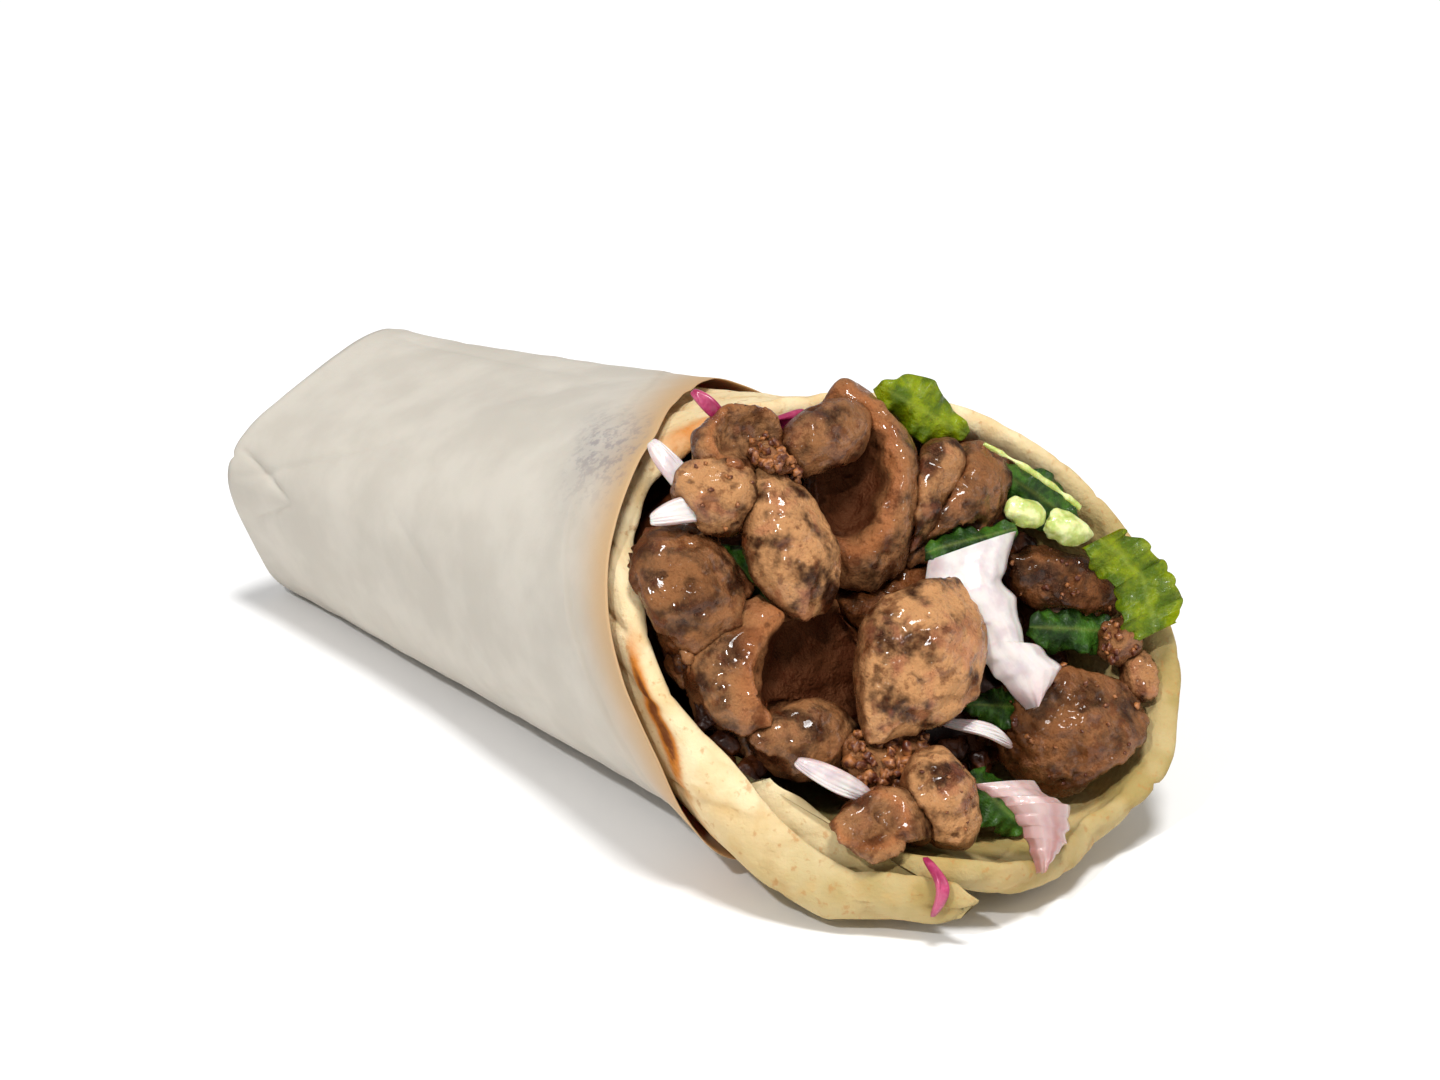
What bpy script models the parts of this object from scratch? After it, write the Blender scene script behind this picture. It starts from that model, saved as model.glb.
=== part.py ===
"""Liver sandwich: a flatbread rolled round fried chicken livers, onion and greens, its closed end in paper.

The roll lies along X on the floor, with its folded paper end at -X and its open mouth facing +X, up and a
little towards -Y. Pieces in the mouth are placed in the mouth's own frame: across (towards +Y), up, and out.
"""
import math
from functools import lru_cache

import bmesh
import bpy
from mathutils import Matrix, Vector, noise
from mathutils.bvhtree import BVHTree

MM = 0.001

# The roll: its outer skin is a row of rounded sections, from 0 at the folded end to 1 at the mouth.
ROLL_LENGTH = 136 * MM
END_HALF_WIDTH, END_HALF_HEIGHT = 22.3 * MM, 19.3 * MM
MOUTH_HALF_WIDTH, MOUTH_HALF_HEIGHT = 40 * MM, 32.5 * MM
WAIST = 2.4 * MM
END_TWIST = math.radians(26)
END_LEAN, MOUTH_LEAN = math.radians(-6), math.radians(31.5)
MOUTH_SKEW = math.radians(16)
END_SQUARENESS, MOUTH_SQUARENESS = 3.8, 2.07
LOW_CORNER, LOW_CORNER_AT, LOW_CORNER_SPREAD = 6 * MM, math.radians(236), math.radians(48)
SAG = 1.0 * MM
ORIGIN = Vector((14.5, 0.5, 0)) * MM  # the middle of the object's box, in the roll's own measure

# Its layers, from the outside in.
PAPER_THICK = 0.6 * MM
END_CORNER, END_DOME = 1.0 * MM, 1.5 * MM  # how far the folded end's edge is rounded and its middle bulges
END_ROUNDING = 0.012  # the share of the roll that the rounding takes
END_MIDDLE = 0.55  # the share of the end face that its flat middle takes
BREAD_THICK = 3.6 * MM
GAP = 0.35 * MM
LAYER_GAP = 0.8 * MM

# The flatbread is a rolled sheet: it starts inside, goes once round and laps over its own start.
LAP_START, LAP_END = math.radians(208), math.radians(247)
LAP_EASE = math.radians(26)
BREAD_BACK = 0.07
LIP_DEPTH = 9 * MM
LIP_ROUNDING = 1.1 * MM
RIM_CROWDING = 1.4  # how much closer the bread's rows lie towards its rim
BREAD_INSET = PAPER_THICK + 3 * GAP
CORNER_REACH, CORNER_ARC = 4 * MM, math.radians(24)

# Round the roll, in degrees and mm: how far the bread's rim and the paper's edge reach past the mouth's plane,
# and how far the bread's lip turns in over the filling. Below 0, the lip opens outwards.
RIM_REACH = ((0, 3), (45, 2), (75, -1), (92, -6), (108, -13), (125, -14), (142, -10), (165, -2), (190, 1),
             (212, 5), (235, 10), (255, 17), (275, 12), (295, 8), (315, 6), (340, 4))
PAPER_REACH = ((0, -40), (45, -50), (65, -50), (90, -33), (112, -15), (135, -6), (160, -4), (195, -4), (222, -10),
               (250, -22), (300, -30))
LIP_TURN_IN = ((0, -1.5), (30, -2), (60, -2), (90, -1), (120, 1), (180, 1), (205, 5), (225, 6), (245, 3),
               (262, 4.5), (290, 5.5), (325, 0))

CORE_FRONT = 0.935
OPEN_REACH = 70 * MM
CREASE_ANGLE = math.radians(50)  # edges sharper than this are shaded as creases
MOUTH_CENTRE = Vector((ROLL_LENGTH / 2, 0, MOUTH_HALF_HEIGHT - SAG)) - ORIGIN

COLOURS = {
    "paper": ((0.72, 0.68, 0.62), 0.7),
    "bread": ((0.86, 0.70, 0.42), 0.8),
    "liver": ((0.25, 0.12, 0.06), 0.35),
    "liver_dark": ((0.10, 0.04, 0.02), 0.3),
    "onion": ((0.85, 0.78, 0.76), 0.35),
    "leaf": ((0.10, 0.25, 0.02), 0.45),
    "rib": ((0.60, 0.68, 0.28), 0.4),
    "cabbage": ((0.35, 0.02, 0.12), 0.4),
}


def mix(a, b, share):
    return a + (b - a) * share


def ease(share):
    """0 to 1 with a smooth start and end."""
    share = min(1.0, max(0.0, share))
    return share * share * (3 - 2 * share)


def round_the_roll(table, theta):
    """A value in millimetres read from (degrees, value) pairs that go once round, smooth between them."""
    angle = math.degrees(theta) % 360
    pairs = list(table) + [(table[0][0] + 360, table[0][1])]
    for (low, first), (high, second) in zip(pairs, pairs[1:]):
        if low <= angle <= high:
            return mix(first, second, ease((angle - low) / (high - low))) * MM
    return table[0][1] * MM


def section_point(k, theta, inset):
    """A point of section k across the roll, before it's set on the floor."""
    width = mix(END_HALF_WIDTH, MOUTH_HALF_WIDTH, k) - WAIST * 4 * k * (1 - k) - inset
    height = mix(END_HALF_HEIGHT, MOUTH_HALF_HEIGHT, k) - inset
    power = 2 / mix(END_SQUARENESS, MOUTH_SQUARENESS, math.sqrt(k))
    across = math.copysign(abs(math.cos(theta)) ** power, math.cos(theta)) * width
    up = math.copysign(abs(math.sin(theta)) ** power, math.sin(theta)) * height
    twist = END_TWIST * (1 - k) ** 1.5
    return across * math.cos(twist) - up * math.sin(twist), across * math.sin(twist) + up * math.cos(twist)


@lru_cache(maxsize=None)
def axis_height(k):
    """How high the roll's axis is at section k, so that the section stands on the floor."""
    return -min(section_point(k, math.radians(a), 0)[1] for a in range(0, 360, 3))


def low_corner(k, theta):
    """How far the mouth's lower near corner is pressed out."""
    off_corner = abs((theta - LOW_CORNER_AT + math.pi) % math.tau - math.pi)
    return LOW_CORNER * ease(1 - off_corner / LOW_CORNER_SPREAD) * ease((k - 0.8) / 0.2)


def skin(k, theta, inset=0.0):
    """A point on the roll, inset below its outer skin. The underside is pressed flat on the floor."""
    inner = min(max(k, 0.0), 1.0)
    y, z = section_point(inner, theta, inset - low_corner(inner, theta))
    x = ROLL_LENGTH * (k - 0.5) - z * math.tan(mix(END_LEAN, MOUTH_LEAN, inner)) + y * math.tan(MOUTH_SKEW * inner)
    return Vector((x, y, max(z + axis_height(inner) - SAG, inset))) - ORIGIN


def mouth_frame():
    """The matrix of the mouth's plane: its X is across, its Y up and its Z out."""
    out = Vector((1, -math.tan(MOUTH_SKEW), math.tan(MOUTH_LEAN))).normalized()
    up = Vector((-math.sin(MOUTH_LEAN), 0, math.cos(MOUTH_LEAN)))
    up = (up - out * up.dot(out)).normalized()
    across = up.cross(out)
    turned = Matrix((across, up, out)).transposed()
    return Matrix.Translation(MOUTH_CENTRE) @ turned.to_4x4()


def paper_edge(theta):
    return 1 + round_the_roll(PAPER_REACH, theta) / ROLL_LENGTH


def rim(theta):
    return 1 + round_the_roll(RIM_REACH, theta) / ROLL_LENGTH


def lip_inset(k, theta):
    """How far the lip is turned in at this distance along the roll."""
    near_rim = max(0.0, 1 - (rim(theta) - k) * ROLL_LENGTH / LIP_DEPTH)
    return round_the_roll(LIP_TURN_IN, theta) * near_rim * near_rim


def bread_inset(turned):
    """How deep the sheet lies at this much turning: under its own lap at the start, then at the paper."""
    under = BREAD_THICK + LAYER_GAP
    return BREAD_INSET + under * (1 - ease((turned - LAP_END) / LAP_EASE))


def material(name):
    colour, roughness = COLOURS[name]
    made = bpy.data.materials.get(name) or bpy.data.materials.new(name)
    made.use_nodes = True
    shader = made.node_tree.nodes["Principled BSDF"]
    shader.inputs["Base Color"].default_value = (*colour, 1)
    shader.inputs["Roughness"].default_value = roughness
    shader.inputs["Metallic"].default_value = 0
    return made


def add_object(name, mesh, colour, collection="liver_sandwich"):
    made = bpy.data.objects.new(name, mesh)
    bpy.data.collections[collection].objects.link(made)
    mesh.materials.append(material(colour))
    mesh.shade_smooth()
    mesh.set_sharp_from_angle(angle=CREASE_ANGLE)
    return made


def mesh_of(name, build):
    """A mesh filled by build(bm), with its faces turned out."""
    bm = bmesh.new()
    build(bm)
    mesh = bpy.data.meshes.new(name)
    bm.to_mesh(mesh)
    bm.free()
    return mesh


def rows_to_faces(bm, rows, closed):
    """Joins rows of vertices with quads. A closed row's last vertex meets its first."""
    for lower, upper in zip(rows, rows[1:]):
        count = len(lower)
        for i in range(count if closed else count - 1):
            j = (i + 1) % count
            bm.faces.new((lower[i], lower[j], upper[j], upper[i]))


def solidify(made, thick, offset=-1.0):
    shell = made.modifiers.new("Thickness", "SOLIDIFY")
    shell.thickness = thick
    shell.offset = offset
    shell.use_even_offset = True
    return made


# ---- paper and bread

def paper_wrap(columns=28, rows=7):
    """The paper: one sleeve with its end folded shut, open at the mouth with a slanting edge."""
    angles = [math.tau * i / columns for i in range(columns)]

    def build(bm):
        def ring(share_of, inset):
            return [bm.verts.new(skin(share_of(a), a, inset)) for a in angles]

        end = skin(0, math.pi / 2).lerp(skin(0, 3 * math.pi / 2), 0.5)
        bulge = Vector((END_DOME, 0, 0))
        folded = [bm.verts.new(end.lerp(v.co, END_MIDDLE) - bulge) for v in ring(lambda a: 0, END_CORNER)]
        bmesh.ops.delete(bm, geom=[v for v in bm.verts if v not in set(folded)], context="VERTS")
        rings = [folded, ring(lambda a: 0, END_CORNER), ring(lambda a: END_ROUNDING, 0)]
        for row in range(1, rows + 1):
            share = row / rows
            rings.append(ring(lambda a: mix(END_ROUNDING, paper_edge(a), share), 0))
        rows_to_faces(bm, rings, closed=True)
        bm.faces.new(list(reversed(folded)))
        bmesh.ops.recalc_face_normals(bm, faces=bm.faces)

    return solidify(add_object("paper_wrap", mesh_of("paper_wrap", build), "paper"), PAPER_THICK)


def bread_mesh(columns=31, rows=7):
    """The rolled sheet's outer face."""
    turns = [mix(LAP_START, LAP_END + math.tau, i / columns) for i in range(columns + 1)]

    def build(bm):
        rings = []
        for row in range(rows + 1):
            share = 1 - (1 - row / rows) ** RIM_CROWDING
            points = []
            for turned in turns:
                corner = ease((turned - LAP_END - math.tau + CORNER_ARC) / CORNER_ARC) * CORNER_REACH
                k = mix(BREAD_BACK, rim(turned) + corner / ROLL_LENGTH, share)
                points.append(bm.verts.new(skin(k, turned, bread_inset(turned) + lip_inset(k, turned))))
            rings.append(points)
        rows_to_faces(bm, rings, closed=False)

    return mesh_of("flatbread", build)


def flatbread():
    """The rolled flatbread, with a rounded lip."""
    bread = solidify(add_object("flatbread", bread_mesh(), "bread"), BREAD_THICK, offset=-1.0)
    lip = bread.modifiers.new("Lip", "BEVEL")
    lip.width = LIP_ROUNDING
    lip.segments = 1
    lip.angle_limit = math.radians(60)
    return bread


def room_in_bread(bread, stations, columns, gap):
    """Rings of points just inside the bread, found from the roll's axis. Past the rim they open far out."""
    bpy.context.view_layer.update()
    tree = BVHTree.FromObject(bread, bpy.context.evaluated_depsgraph_get())
    reaches, rays = [], []
    for k in stations:
        axis = skin(k, 0).lerp(skin(k, math.pi), 0.5)
        ways = [(skin(k, math.tau * i / columns) - axis).normalized() for i in range(columns)]
        hits = [tree.ray_cast(axis, way, OPEN_REACH)[3] or OPEN_REACH for way in ways]
        rays.append((axis, ways))
        reaches.append([min(hits[i - 1], hits[i], hits[(i + 1) % columns]) for i in range(columns)])
    rings = []
    for at, (axis, ways) in enumerate(rays):
        beside = reaches[max(0, at - 1):at + 2]
        rings.append([axis + way * (min(reach[i] for reach in beside) - gap) for i, way in enumerate(ways)])
    return rings


def filling_room(bread, columns=36):
    """The space that the bread leaves for the filling, open to the front."""
    stations = (0.55, 0.7, 0.8, 0.86, 0.9, 0.93, 0.955, 0.975, 0.99, 1.005, 1.02, 1.035, 1.05, 1.065, 1.08, 1.095,
                1.11, 1.125, 1.14, 1.17, 1.25)

    def build(bm):
        inside = room_in_bread(bread, stations, columns, 1.5 * GAP)
        rings = [[bm.verts.new(point) for point in ring] for ring in inside]
        rows_to_faces(bm, rings, closed=True)
        bm.faces.new(list(reversed(rings[0])))
        bm.faces.new(rings[-1])
        bmesh.ops.recalc_face_normals(bm, faces=bm.faces)

    return add_object("filling_room", mesh_of("filling_room", build), "bread", "cutters")


def filling_core(bread, columns=24):
    """The packed filling inside the roll, from its folded end to just behind the pieces that show."""
    stations = (BREAD_BACK + 0.02, 0.25, 0.45, 0.65, 0.8, 0.88, CORE_FRONT)

    def build(bm):
        inside = room_in_bread(bread, stations, columns, 2 * GAP)
        rings = [[bm.verts.new(point) for point in ring] for ring in inside]
        edge = rings[-1]
        middle = sum((v.co for v in edge), Vector()) / columns
        out = mouth_frame().to_3x3() @ Vector((0, 0, MM))
        for share, rise in ((0.82, 1.5), (0.55, 3.0), (0.28, 3.5)):
            rings.append([bm.verts.new(middle.lerp(v.co, share) + out * rise * lumpy(v.co)) for v in edge])
        rows_to_faces(bm, rings, closed=True)
        bm.faces.new(list(reversed(rings[0])))
        bm.faces.new(rings[-1])
        bmesh.ops.triangulate(bm, faces=bm.faces)
        bmesh.ops.recalc_face_normals(bm, faces=bm.faces)

    return add_object("filling_core", mesh_of("filling_core", build), "liver_dark")


def lumpy(point, size=9 * MM):
    return 1 + 0.5 * noise.noise(point / size)


# ---- pieces in the mouth

def place(made, at, turn=0.0, tilt=0.0, roll=0.0):
    """Sets a piece in the mouth: at is (across, up, out) in mm, turn about out, then tilt and roll, in degrees."""
    spin = Matrix.Rotation(math.radians(turn), 4, "Z")
    lean = Matrix.Rotation(math.radians(tilt), 4, "Y") @ Matrix.Rotation(math.radians(roll), 4, "X")
    made.matrix_world = mouth_frame() @ Matrix.Translation(Vector(at) * MM) @ spin @ lean
    return made


def lobe(name, at, size, turn=0, tilt=0, roll=0, fat_end=0.0, bend=0.0, dish=None, rough=0.06, seed=0.0,
         colour="liver", segments=12, rings=8):
    """A rounded lobe, size = (length, width, thickness) in mm.

    fat_end widens the end it points to, bend curves it sideways, and dish = (along, aside, radius, depth), in
    shares of the half sizes, hollows its outer face as a folded liver is hollowed. rough is the lumps' height.
    """
    half = Vector(size) * MM / 2

    def build(bm):
        lie_down = Matrix.Rotation(math.pi / 2, 4, "Y")
        bmesh.ops.create_uvsphere(bm, u_segments=segments, v_segments=rings, radius=1, matrix=lie_down)
        for vertex in bm.verts:
            p = vertex.co.copy()
            lump = 1 + rough * 2 * noise.noise(p * 1.6 + Vector((seed * 7.3, seed * 3.1, 4.7)))
            lump += rough * noise.noise(p * 3.7 + Vector((2.9, seed * 5.7, seed)))
            wide = 1 + fat_end * p.x
            x, y, z = p.x * lump, p.y * wide * lump, p.z * (1 + 0.5 * fat_end * p.x) * lump
            y += bend * (1 - p.x * p.x) - bend / 2
            if dish and z > 0:
                along, aside, radius, depth = dish
                inside = 1 - ((x - along) ** 2 + (y - aside) ** 2) / radius ** 2
                z -= z * depth * ease(inside * 1.6)
            vertex.co = Vector((x * half.x, y * half.y, z * half.z))
        bmesh.ops.triangulate(bm, faces=bm.faces)

    return place(add_object(name, mesh_of(name, build), colour), at, turn, tilt, roll)


def sheet_piece(name, at, size, colour, turn=0, tilt=0, roll=0, outline=None, height=None, thick=0.8, cells=(7, 3)):
    """A thin piece, size = (length, width) in mm. outline(s) gives its two half widths as shares, and
    height(s, t) its height in mm, for s along it from 0 to 1 and t across it from -1 to 1."""
    length, width = size
    outline = outline or (lambda s: (0.45 + 0.55 * math.sin(math.pi * s),) * 2)
    height = height or (lambda s, t: 0.0)

    def build(bm):
        rows = []
        for i in range(cells[0] + 1):
            s = i / cells[0]
            low, high = outline(s)
            row = []
            for j in range(cells[1] + 1):
                t = 2 * j / cells[1] - 1
                aside = t * (low if t < 0 else high) * width / 2
                row.append(bm.verts.new(Vector(((s - 0.5) * length, aside, height(s, t))) * MM))
            rows.append(row)
        rows_to_faces(bm, rows, closed=False)
        bmesh.ops.triangulate(bm, faces=bm.faces)
        bmesh.ops.recalc_face_normals(bm, faces=bm.faces)

    made = solidify(add_object(name, mesh_of(name, build), colour), thick * MM, offset=0.0)
    return place(made, at, turn, tilt, roll)


def ruffle(amount, waves, cup=0.0):
    """A height for sheet_piece: waves along both edges, on a cupped middle."""
    def height(s, t):
        return amount * t * t * math.sin(waves * math.tau * s + 1.3 * (t > 0)) + cup * (t * t - 0.5)
    return height


def jagged(teeth, depth, wide_start=0.8, wide_end=0.6):
    """An outline for a torn onion petal: one plain side and one with teeth."""
    def outline(s):
        plain = mix(wide_start, wide_end, s)
        tooth = abs((s * teeth) % 1 - 0.5) * 2
        return plain, plain * (1 - depth * tooth)
    return outline


def strip(s):
    """An outline of even width with rounded ends."""
    end = 0.75 + 0.25 * math.sin(math.pi * s)
    return end, end


def arched(rise):
    return lambda s, t: rise * math.sin(math.pi * s)


def add_livers():
    """The livers that show, front ones first."""
    return [
        lobe("liver_centre", (-3, -3.5, 7), (27, 19, 13), turn=36, fat_end=0.2, rough=0.05, seed=1),
        lobe("liver_teardrop", (-13.8, 18.2, 4.5), (23, 12.5, 10), turn=-91, fat_end=0.28, rough=0.05, seed=2),
        lobe("liver_curl", (-15.2, 33, 3), (14, 11, 10), turn=2, dish=(0.15, 0.1, 0.8, 0.9), seed=3),
        lobe("liver_flat", (-20, 26.8, 3.5), (16, 11.5, 9), turn=-33, fat_end=-0.2, seed=4),
        lobe("liver_join_top", (-12.5, 28, 4), (9, 8, 7), turn=-50, rough=0.16, seed=5, segments=10, rings=7),
        lobe("liver_in_arch", (-3.5, 30, 4), (16, 9, 9), turn=9, fat_end=0.1, seed=6),
        lobe("liver_arch_top", (1.0, 22.3, 0.5), (29, 17, 15), turn=-110, bend=0.25,
             dish=(-0.1, -0.42, 0.75, 0.95), seed=7, segments=16, rings=9),
        lobe("liver_slim", (5, 16.5, 2), (29, 8.5, 8), turn=32, tilt=-6, bend=-0.2, seed=8),
        lobe("liver_broad", (14, 16, 0.5), (25, 13, 11), turn=26, fat_end=0.15, seed=9),
        lobe("liver_low_round", (-17.5, -23.2, 8), (15, 12, 10), turn=-8, dish=(-0.3, 0.3, 0.6, 0.5), seed=10),
        lobe("liver_low_flat", (-8, -22.7, 8.5), (16, 12, 10), turn=-96, fat_end=-0.15, seed=11),
        lobe("liver_join_low", (-11, -14.5, 3), (13, 10, 9), turn=-4, rough=0.16, seed=12),
        lobe("liver_in_low_arch", (-21.5, -8, 1.5), (18, 11, 9), turn=-11, fat_end=0.15, seed=13),
        lobe("liver_arch_low", (-19, 0.5, -0.5), (30, 25, 16), turn=5, bend=0.1,
             dish=(0.38, -0.1, 0.85, 0.95), seed=14, segments=16, rings=9),
        lobe("liver_chunk_left", (-27.5, 15.8, -1), (20, 17, 13), turn=-68, rough=0.13, seed=15),
        lobe("liver_sliver_left", (-30, 5.5, -2), (14, 8, 8), turn=-51, rough=0.1, seed=16, segments=10, rings=7),
        lobe("liver_chunk_right", (20.5, -21, -1), (27, 19, 14), turn=-28, rough=0.13, seed=17),
        lobe("liver_flaps", (28.5, -0.5, -2), (20, 10, 9), turn=-30, rough=0.14, seed=18),
        lobe("liver_pink", (33.3, -17.6, 0), (12, 7.2, 7), turn=-95, rough=0.07, seed=19, segments=10, rings=7),
        lobe("liver_knot", (31.3, -10.4, 1), (7, 7.5, 6), turn=-18, rough=0.2, seed=20, segments=10, rings=7),
        lobe("liver_ledge", (2, 6.4, -4), (26, 13, 11), turn=2, rough=0.08, seed=21),
    ]


def add_onions():
    return [
        sheet_piece("onion_petal", (12, -2.5, 8), (25, 11), "onion", turn=-75, tilt=-6, roll=12,
                    outline=jagged(4, 0.35, 0.95, 0.75), height=ruffle(0.3, 1, -3.0), thick=1.3, cells=(10, 3)),
        sheet_piece("onion_petal_low", (3, -30, 13.5), (17, 9), "onion", turn=-80, tilt=10, roll=-8,
                    outline=jagged(3, 0.25, 0.7, 0.9), height=ruffle(0.3, 1, -1.6), thick=1.3, cells=(7, 3)),
        sheet_piece("onion_sliver", (-21.3, -14.6, 8), (12, 3.2), "onion", turn=-44, roll=30,
                    outline=strip, height=arched(1.0), thick=1.2, cells=(6, 2)),
        sheet_piece("onion_strip_top", (-25, 32.5, 1.5), (10, 3.4), "onion", turn=-70, outline=strip,
                    height=arched(1.0), thick=1.3, cells=(6, 2)),
        sheet_piece("onion_strip_left", (-26.5, 26, 2.5), (9.5, 3.6), "onion", turn=-11, outline=strip,
                    height=arched(0.8), thick=1.3, cells=(6, 2)),
        sheet_piece("onion_thread", (3.2, -15.6, 4.2), (11, 1.8), "onion", turn=-36, outline=strip,
                    height=arched(2.0), thick=0.9, cells=(7, 2)),
    ]


def add_greens():
    leaf_edge = ruffle(0.9, 2.5, -1.0)
    return [
        sheet_piece("lettuce_frill", (34.2, -3.5, 7), (19, 14), "leaf", turn=-38, tilt=-12, roll=-10,
                    height=ruffle(1.9, 3, 1.2), thick=0.9, cells=(12, 4)),
        sheet_piece("lettuce_top", (14.2, 29.8, 1.5), (14, 7), "leaf", turn=-46, roll=25,
                    height=leaf_edge),
        sheet_piece("leaf_middle", (12.5, 9.8, 4.5), (15, 6), "leaf", turn=-3, roll=-20,
                    height=leaf_edge),
        sheet_piece("leaf_by_stem", (26, 13.6, 1.5), (16, 8), "leaf", turn=-50, roll=8,
                    height=leaf_edge),
        sheet_piece("leaf_left", (-19.5, 16.2, -0.5), (11, 6.5), "leaf", turn=-60, roll=20,
                    height=leaf_edge),
        sheet_piece("leaf_right", (25.5, -6.5, -0.5), (14, 8), "leaf", turn=-20, height=leaf_edge),
        sheet_piece("leaf_low_middle", (9, -13, 1.5), (10, 6), "leaf", turn=-20, height=leaf_edge),
        sheet_piece("leaf_low", (4.5, -25.5, -0.5), (10, 7), "leaf", turn=-60, height=leaf_edge),
        lobe("stalk_upper", (22.6, 11.2, 4), (7, 5, 4), turn=-30, rough=0.1, seed=31, colour="rib",
             segments=10, rings=6),
        lobe("stalk_middle", (27.8, 7.2, 4.2), (8.5, 5.2, 4.4), turn=-38, rough=0.1, seed=32, colour="rib",
             segments=10, rings=6),
    ]


def stem(name, start, end, radius=0.55, sides=6, steps=6):
    """A thin bowed stalk between two points of the mouth's frame, in mm."""
    start, end = Vector(start), Vector(end)
    run = (end - start).normalized()
    aside = run.cross(Vector((0, 0, 1))).normalized()
    above = aside.cross(run)

    def build(bm):
        rings = []
        for i in range(steps + 1):
            share = i / steps
            middle = start.lerp(end, share) + above * 1.2 * math.sin(math.pi * share)
            around = [math.tau * j / sides for j in range(sides)]
            rings.append([bm.verts.new((middle + (aside * math.cos(a) + above * math.sin(a)) * radius) * MM)
                          for a in around])
        rows_to_faces(bm, rings, closed=True)
        bm.faces.new(list(reversed(rings[0])))
        bm.faces.new(rings[-1])
        bmesh.ops.recalc_face_normals(bm, faces=bm.faces)

    made = add_object(name, mesh_of(name, build), "rib")
    made.matrix_world = mouth_frame()
    return made


def add_cabbage():
    return [
        sheet_piece("cabbage_top", (-16.5, 39.3, 1), (6.5, 2.2), "cabbage", turn=-62, roll=30, outline=strip,
                    height=arched(0.5), thick=0.9, cells=(5, 2)),
        sheet_piece("pickle_strip", (-9, 35.4, 0), (13, 2.4), "cabbage", turn=-6, roll=35, outline=strip,
                    height=arched(0.6), thick=1.0, cells=(6, 2)),
        sheet_piece("cabbage_low", (-15.9, -32.6, 15.6), (8, 1.8), "cabbage", turn=-100, tilt=8, outline=strip,
                    height=arched(0.4), thick=0.9, cells=(5, 2)),
    ]


# ---- making neighbours fit

def solid_mesh(made):
    """The object as its modifiers make it, in the world's measure."""
    mesh = bpy.data.meshes.new_from_object(made.evaluated_get(bpy.context.evaluated_depsgraph_get()))
    mesh.transform(made.matrix_world)
    return mesh


def swollen(made):
    """A copy of a piece with a gap all round it, kept as a cutter."""
    cutter = bpy.data.objects.new(made.name + "_clearance", solid_mesh(made))
    bpy.data.collections["cutters"].objects.link(cutter)
    grow = cutter.modifiers.new("Gap", "DISPLACE")
    grow.strength = GAP
    grow.mid_level = 0
    return cutter


def box_of(made):
    corners = [made.matrix_world @ vertex.co for vertex in made.data.vertices]
    return [(min(c[i] for c in corners), max(c[i] for c in corners)) for i in range(3)]


def near(first, second):
    return all(a[0] - GAP < b[1] and b[0] - GAP < a[1] for a, b in zip(first, second))


def cut_to(made, cutters, room=None):
    """Cuts a piece to the pieces in front of it that reach it, and to the room inside the bread."""
    own = box_of(made)
    if room:
        keep = made.modifiers.new("Inside the bread", "BOOLEAN")
        keep.operation = "INTERSECT"
        keep.solver = "MANIFOLD"
        keep.object = room
    for cutter in cutters:
        if near(own, box_of(cutter)):
            cut = made.modifiers.new("Clear of " + cutter.name, "BOOLEAN")
            cut.operation = "DIFFERENCE"
            cut.solver = "MANIFOLD"
            cut.object = cutter


def islands_of(bm):
    """The faces of each body in a mesh, joined across edges. An edge where two bodies touch doesn't join them."""
    left, islands = set(bm.faces), []
    while left:
        island, fresh = set(), [left.pop()]
        while fresh:
            face = fresh.pop()
            island.add(face)
            inner_edges = [edge for edge in face.edges if len(edge.link_faces) == 2]
            beside = {other for edge in inner_edges for other in edge.link_faces} & left
            fresh += beside
            left -= beside
        islands.append(island)
    return islands


def largest_body(mesh):
    """Leaves the largest body of a mesh, in triangles, and says whether it is closed."""
    bm = bmesh.new()
    bm.from_mesh(mesh)
    bmesh.ops.triangulate(bm, faces=bm.faces)
    main_body = max(islands_of(bm), key=lambda island: sum(face.calc_area() for face in island))
    bmesh.ops.delete(bm, geom=[face for face in bm.faces if face not in main_body], context="FACES")
    closed = all(len(edge.link_faces) == 2 for edge in bm.edges)
    bm.to_mesh(mesh)
    bm.free()
    return closed


def trim(made, cutters, room=None, attempts=12, hair=0.015 * MM):
    """Cuts a piece and drops the scraps. A piece left touching itself is set a hair deeper and cut again.

    Returns how far it was moved."""
    cut_to(made, cutters, room)
    whole = made.matrix_world.copy()
    inward = mouth_frame().to_3x3() @ Vector((0, 0, -1))
    for attempt in range(attempts):
        shift = inward * attempt * hair
        made.matrix_world = Matrix.Translation(shift) @ whole
        bpy.context.view_layer.update()
        mesh = solid_mesh(made)
        if largest_body(mesh):
            break
    made.modifiers.clear()
    made.data = mesh
    made.matrix_world = Matrix.Identity(4)
    return shift


def fit_together(pieces, core, room):
    """Cuts each piece to the bread and to the pieces before it, and the core to them all."""
    bpy.context.view_layer.update()
    cutters = [swollen(made) for made in pieces]
    bpy.context.view_layer.update()
    for i, made in enumerate(pieces):
        cutters[i].location = trim(made, cutters[:i], room)
    trim(core, cutters)


def main():
    for old in list(bpy.data.objects):
        bpy.data.objects.remove(old)
    for name in ("liver_sandwich", "cutters"):
        bpy.context.scene.collection.children.link(bpy.data.collections.new(name))
    bpy.data.collections["cutters"].hide_render = True
    paper_wrap()
    bread = flatbread()
    core = filling_core(bread)
    room = filling_room(bread)
    parsley = stem("parsley_stem", (20.5, 22.5, 3.2), (31, 9.2, 4.6))
    thin = add_onions() + add_greens() + add_cabbage()
    fit_together([parsley, *thin, *add_livers()], core, room)
    for cutter in bpy.data.collections["cutters"].objects:
        cutter.hide_render = True
        cutter.display_type = "WIRE"


main()
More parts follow.
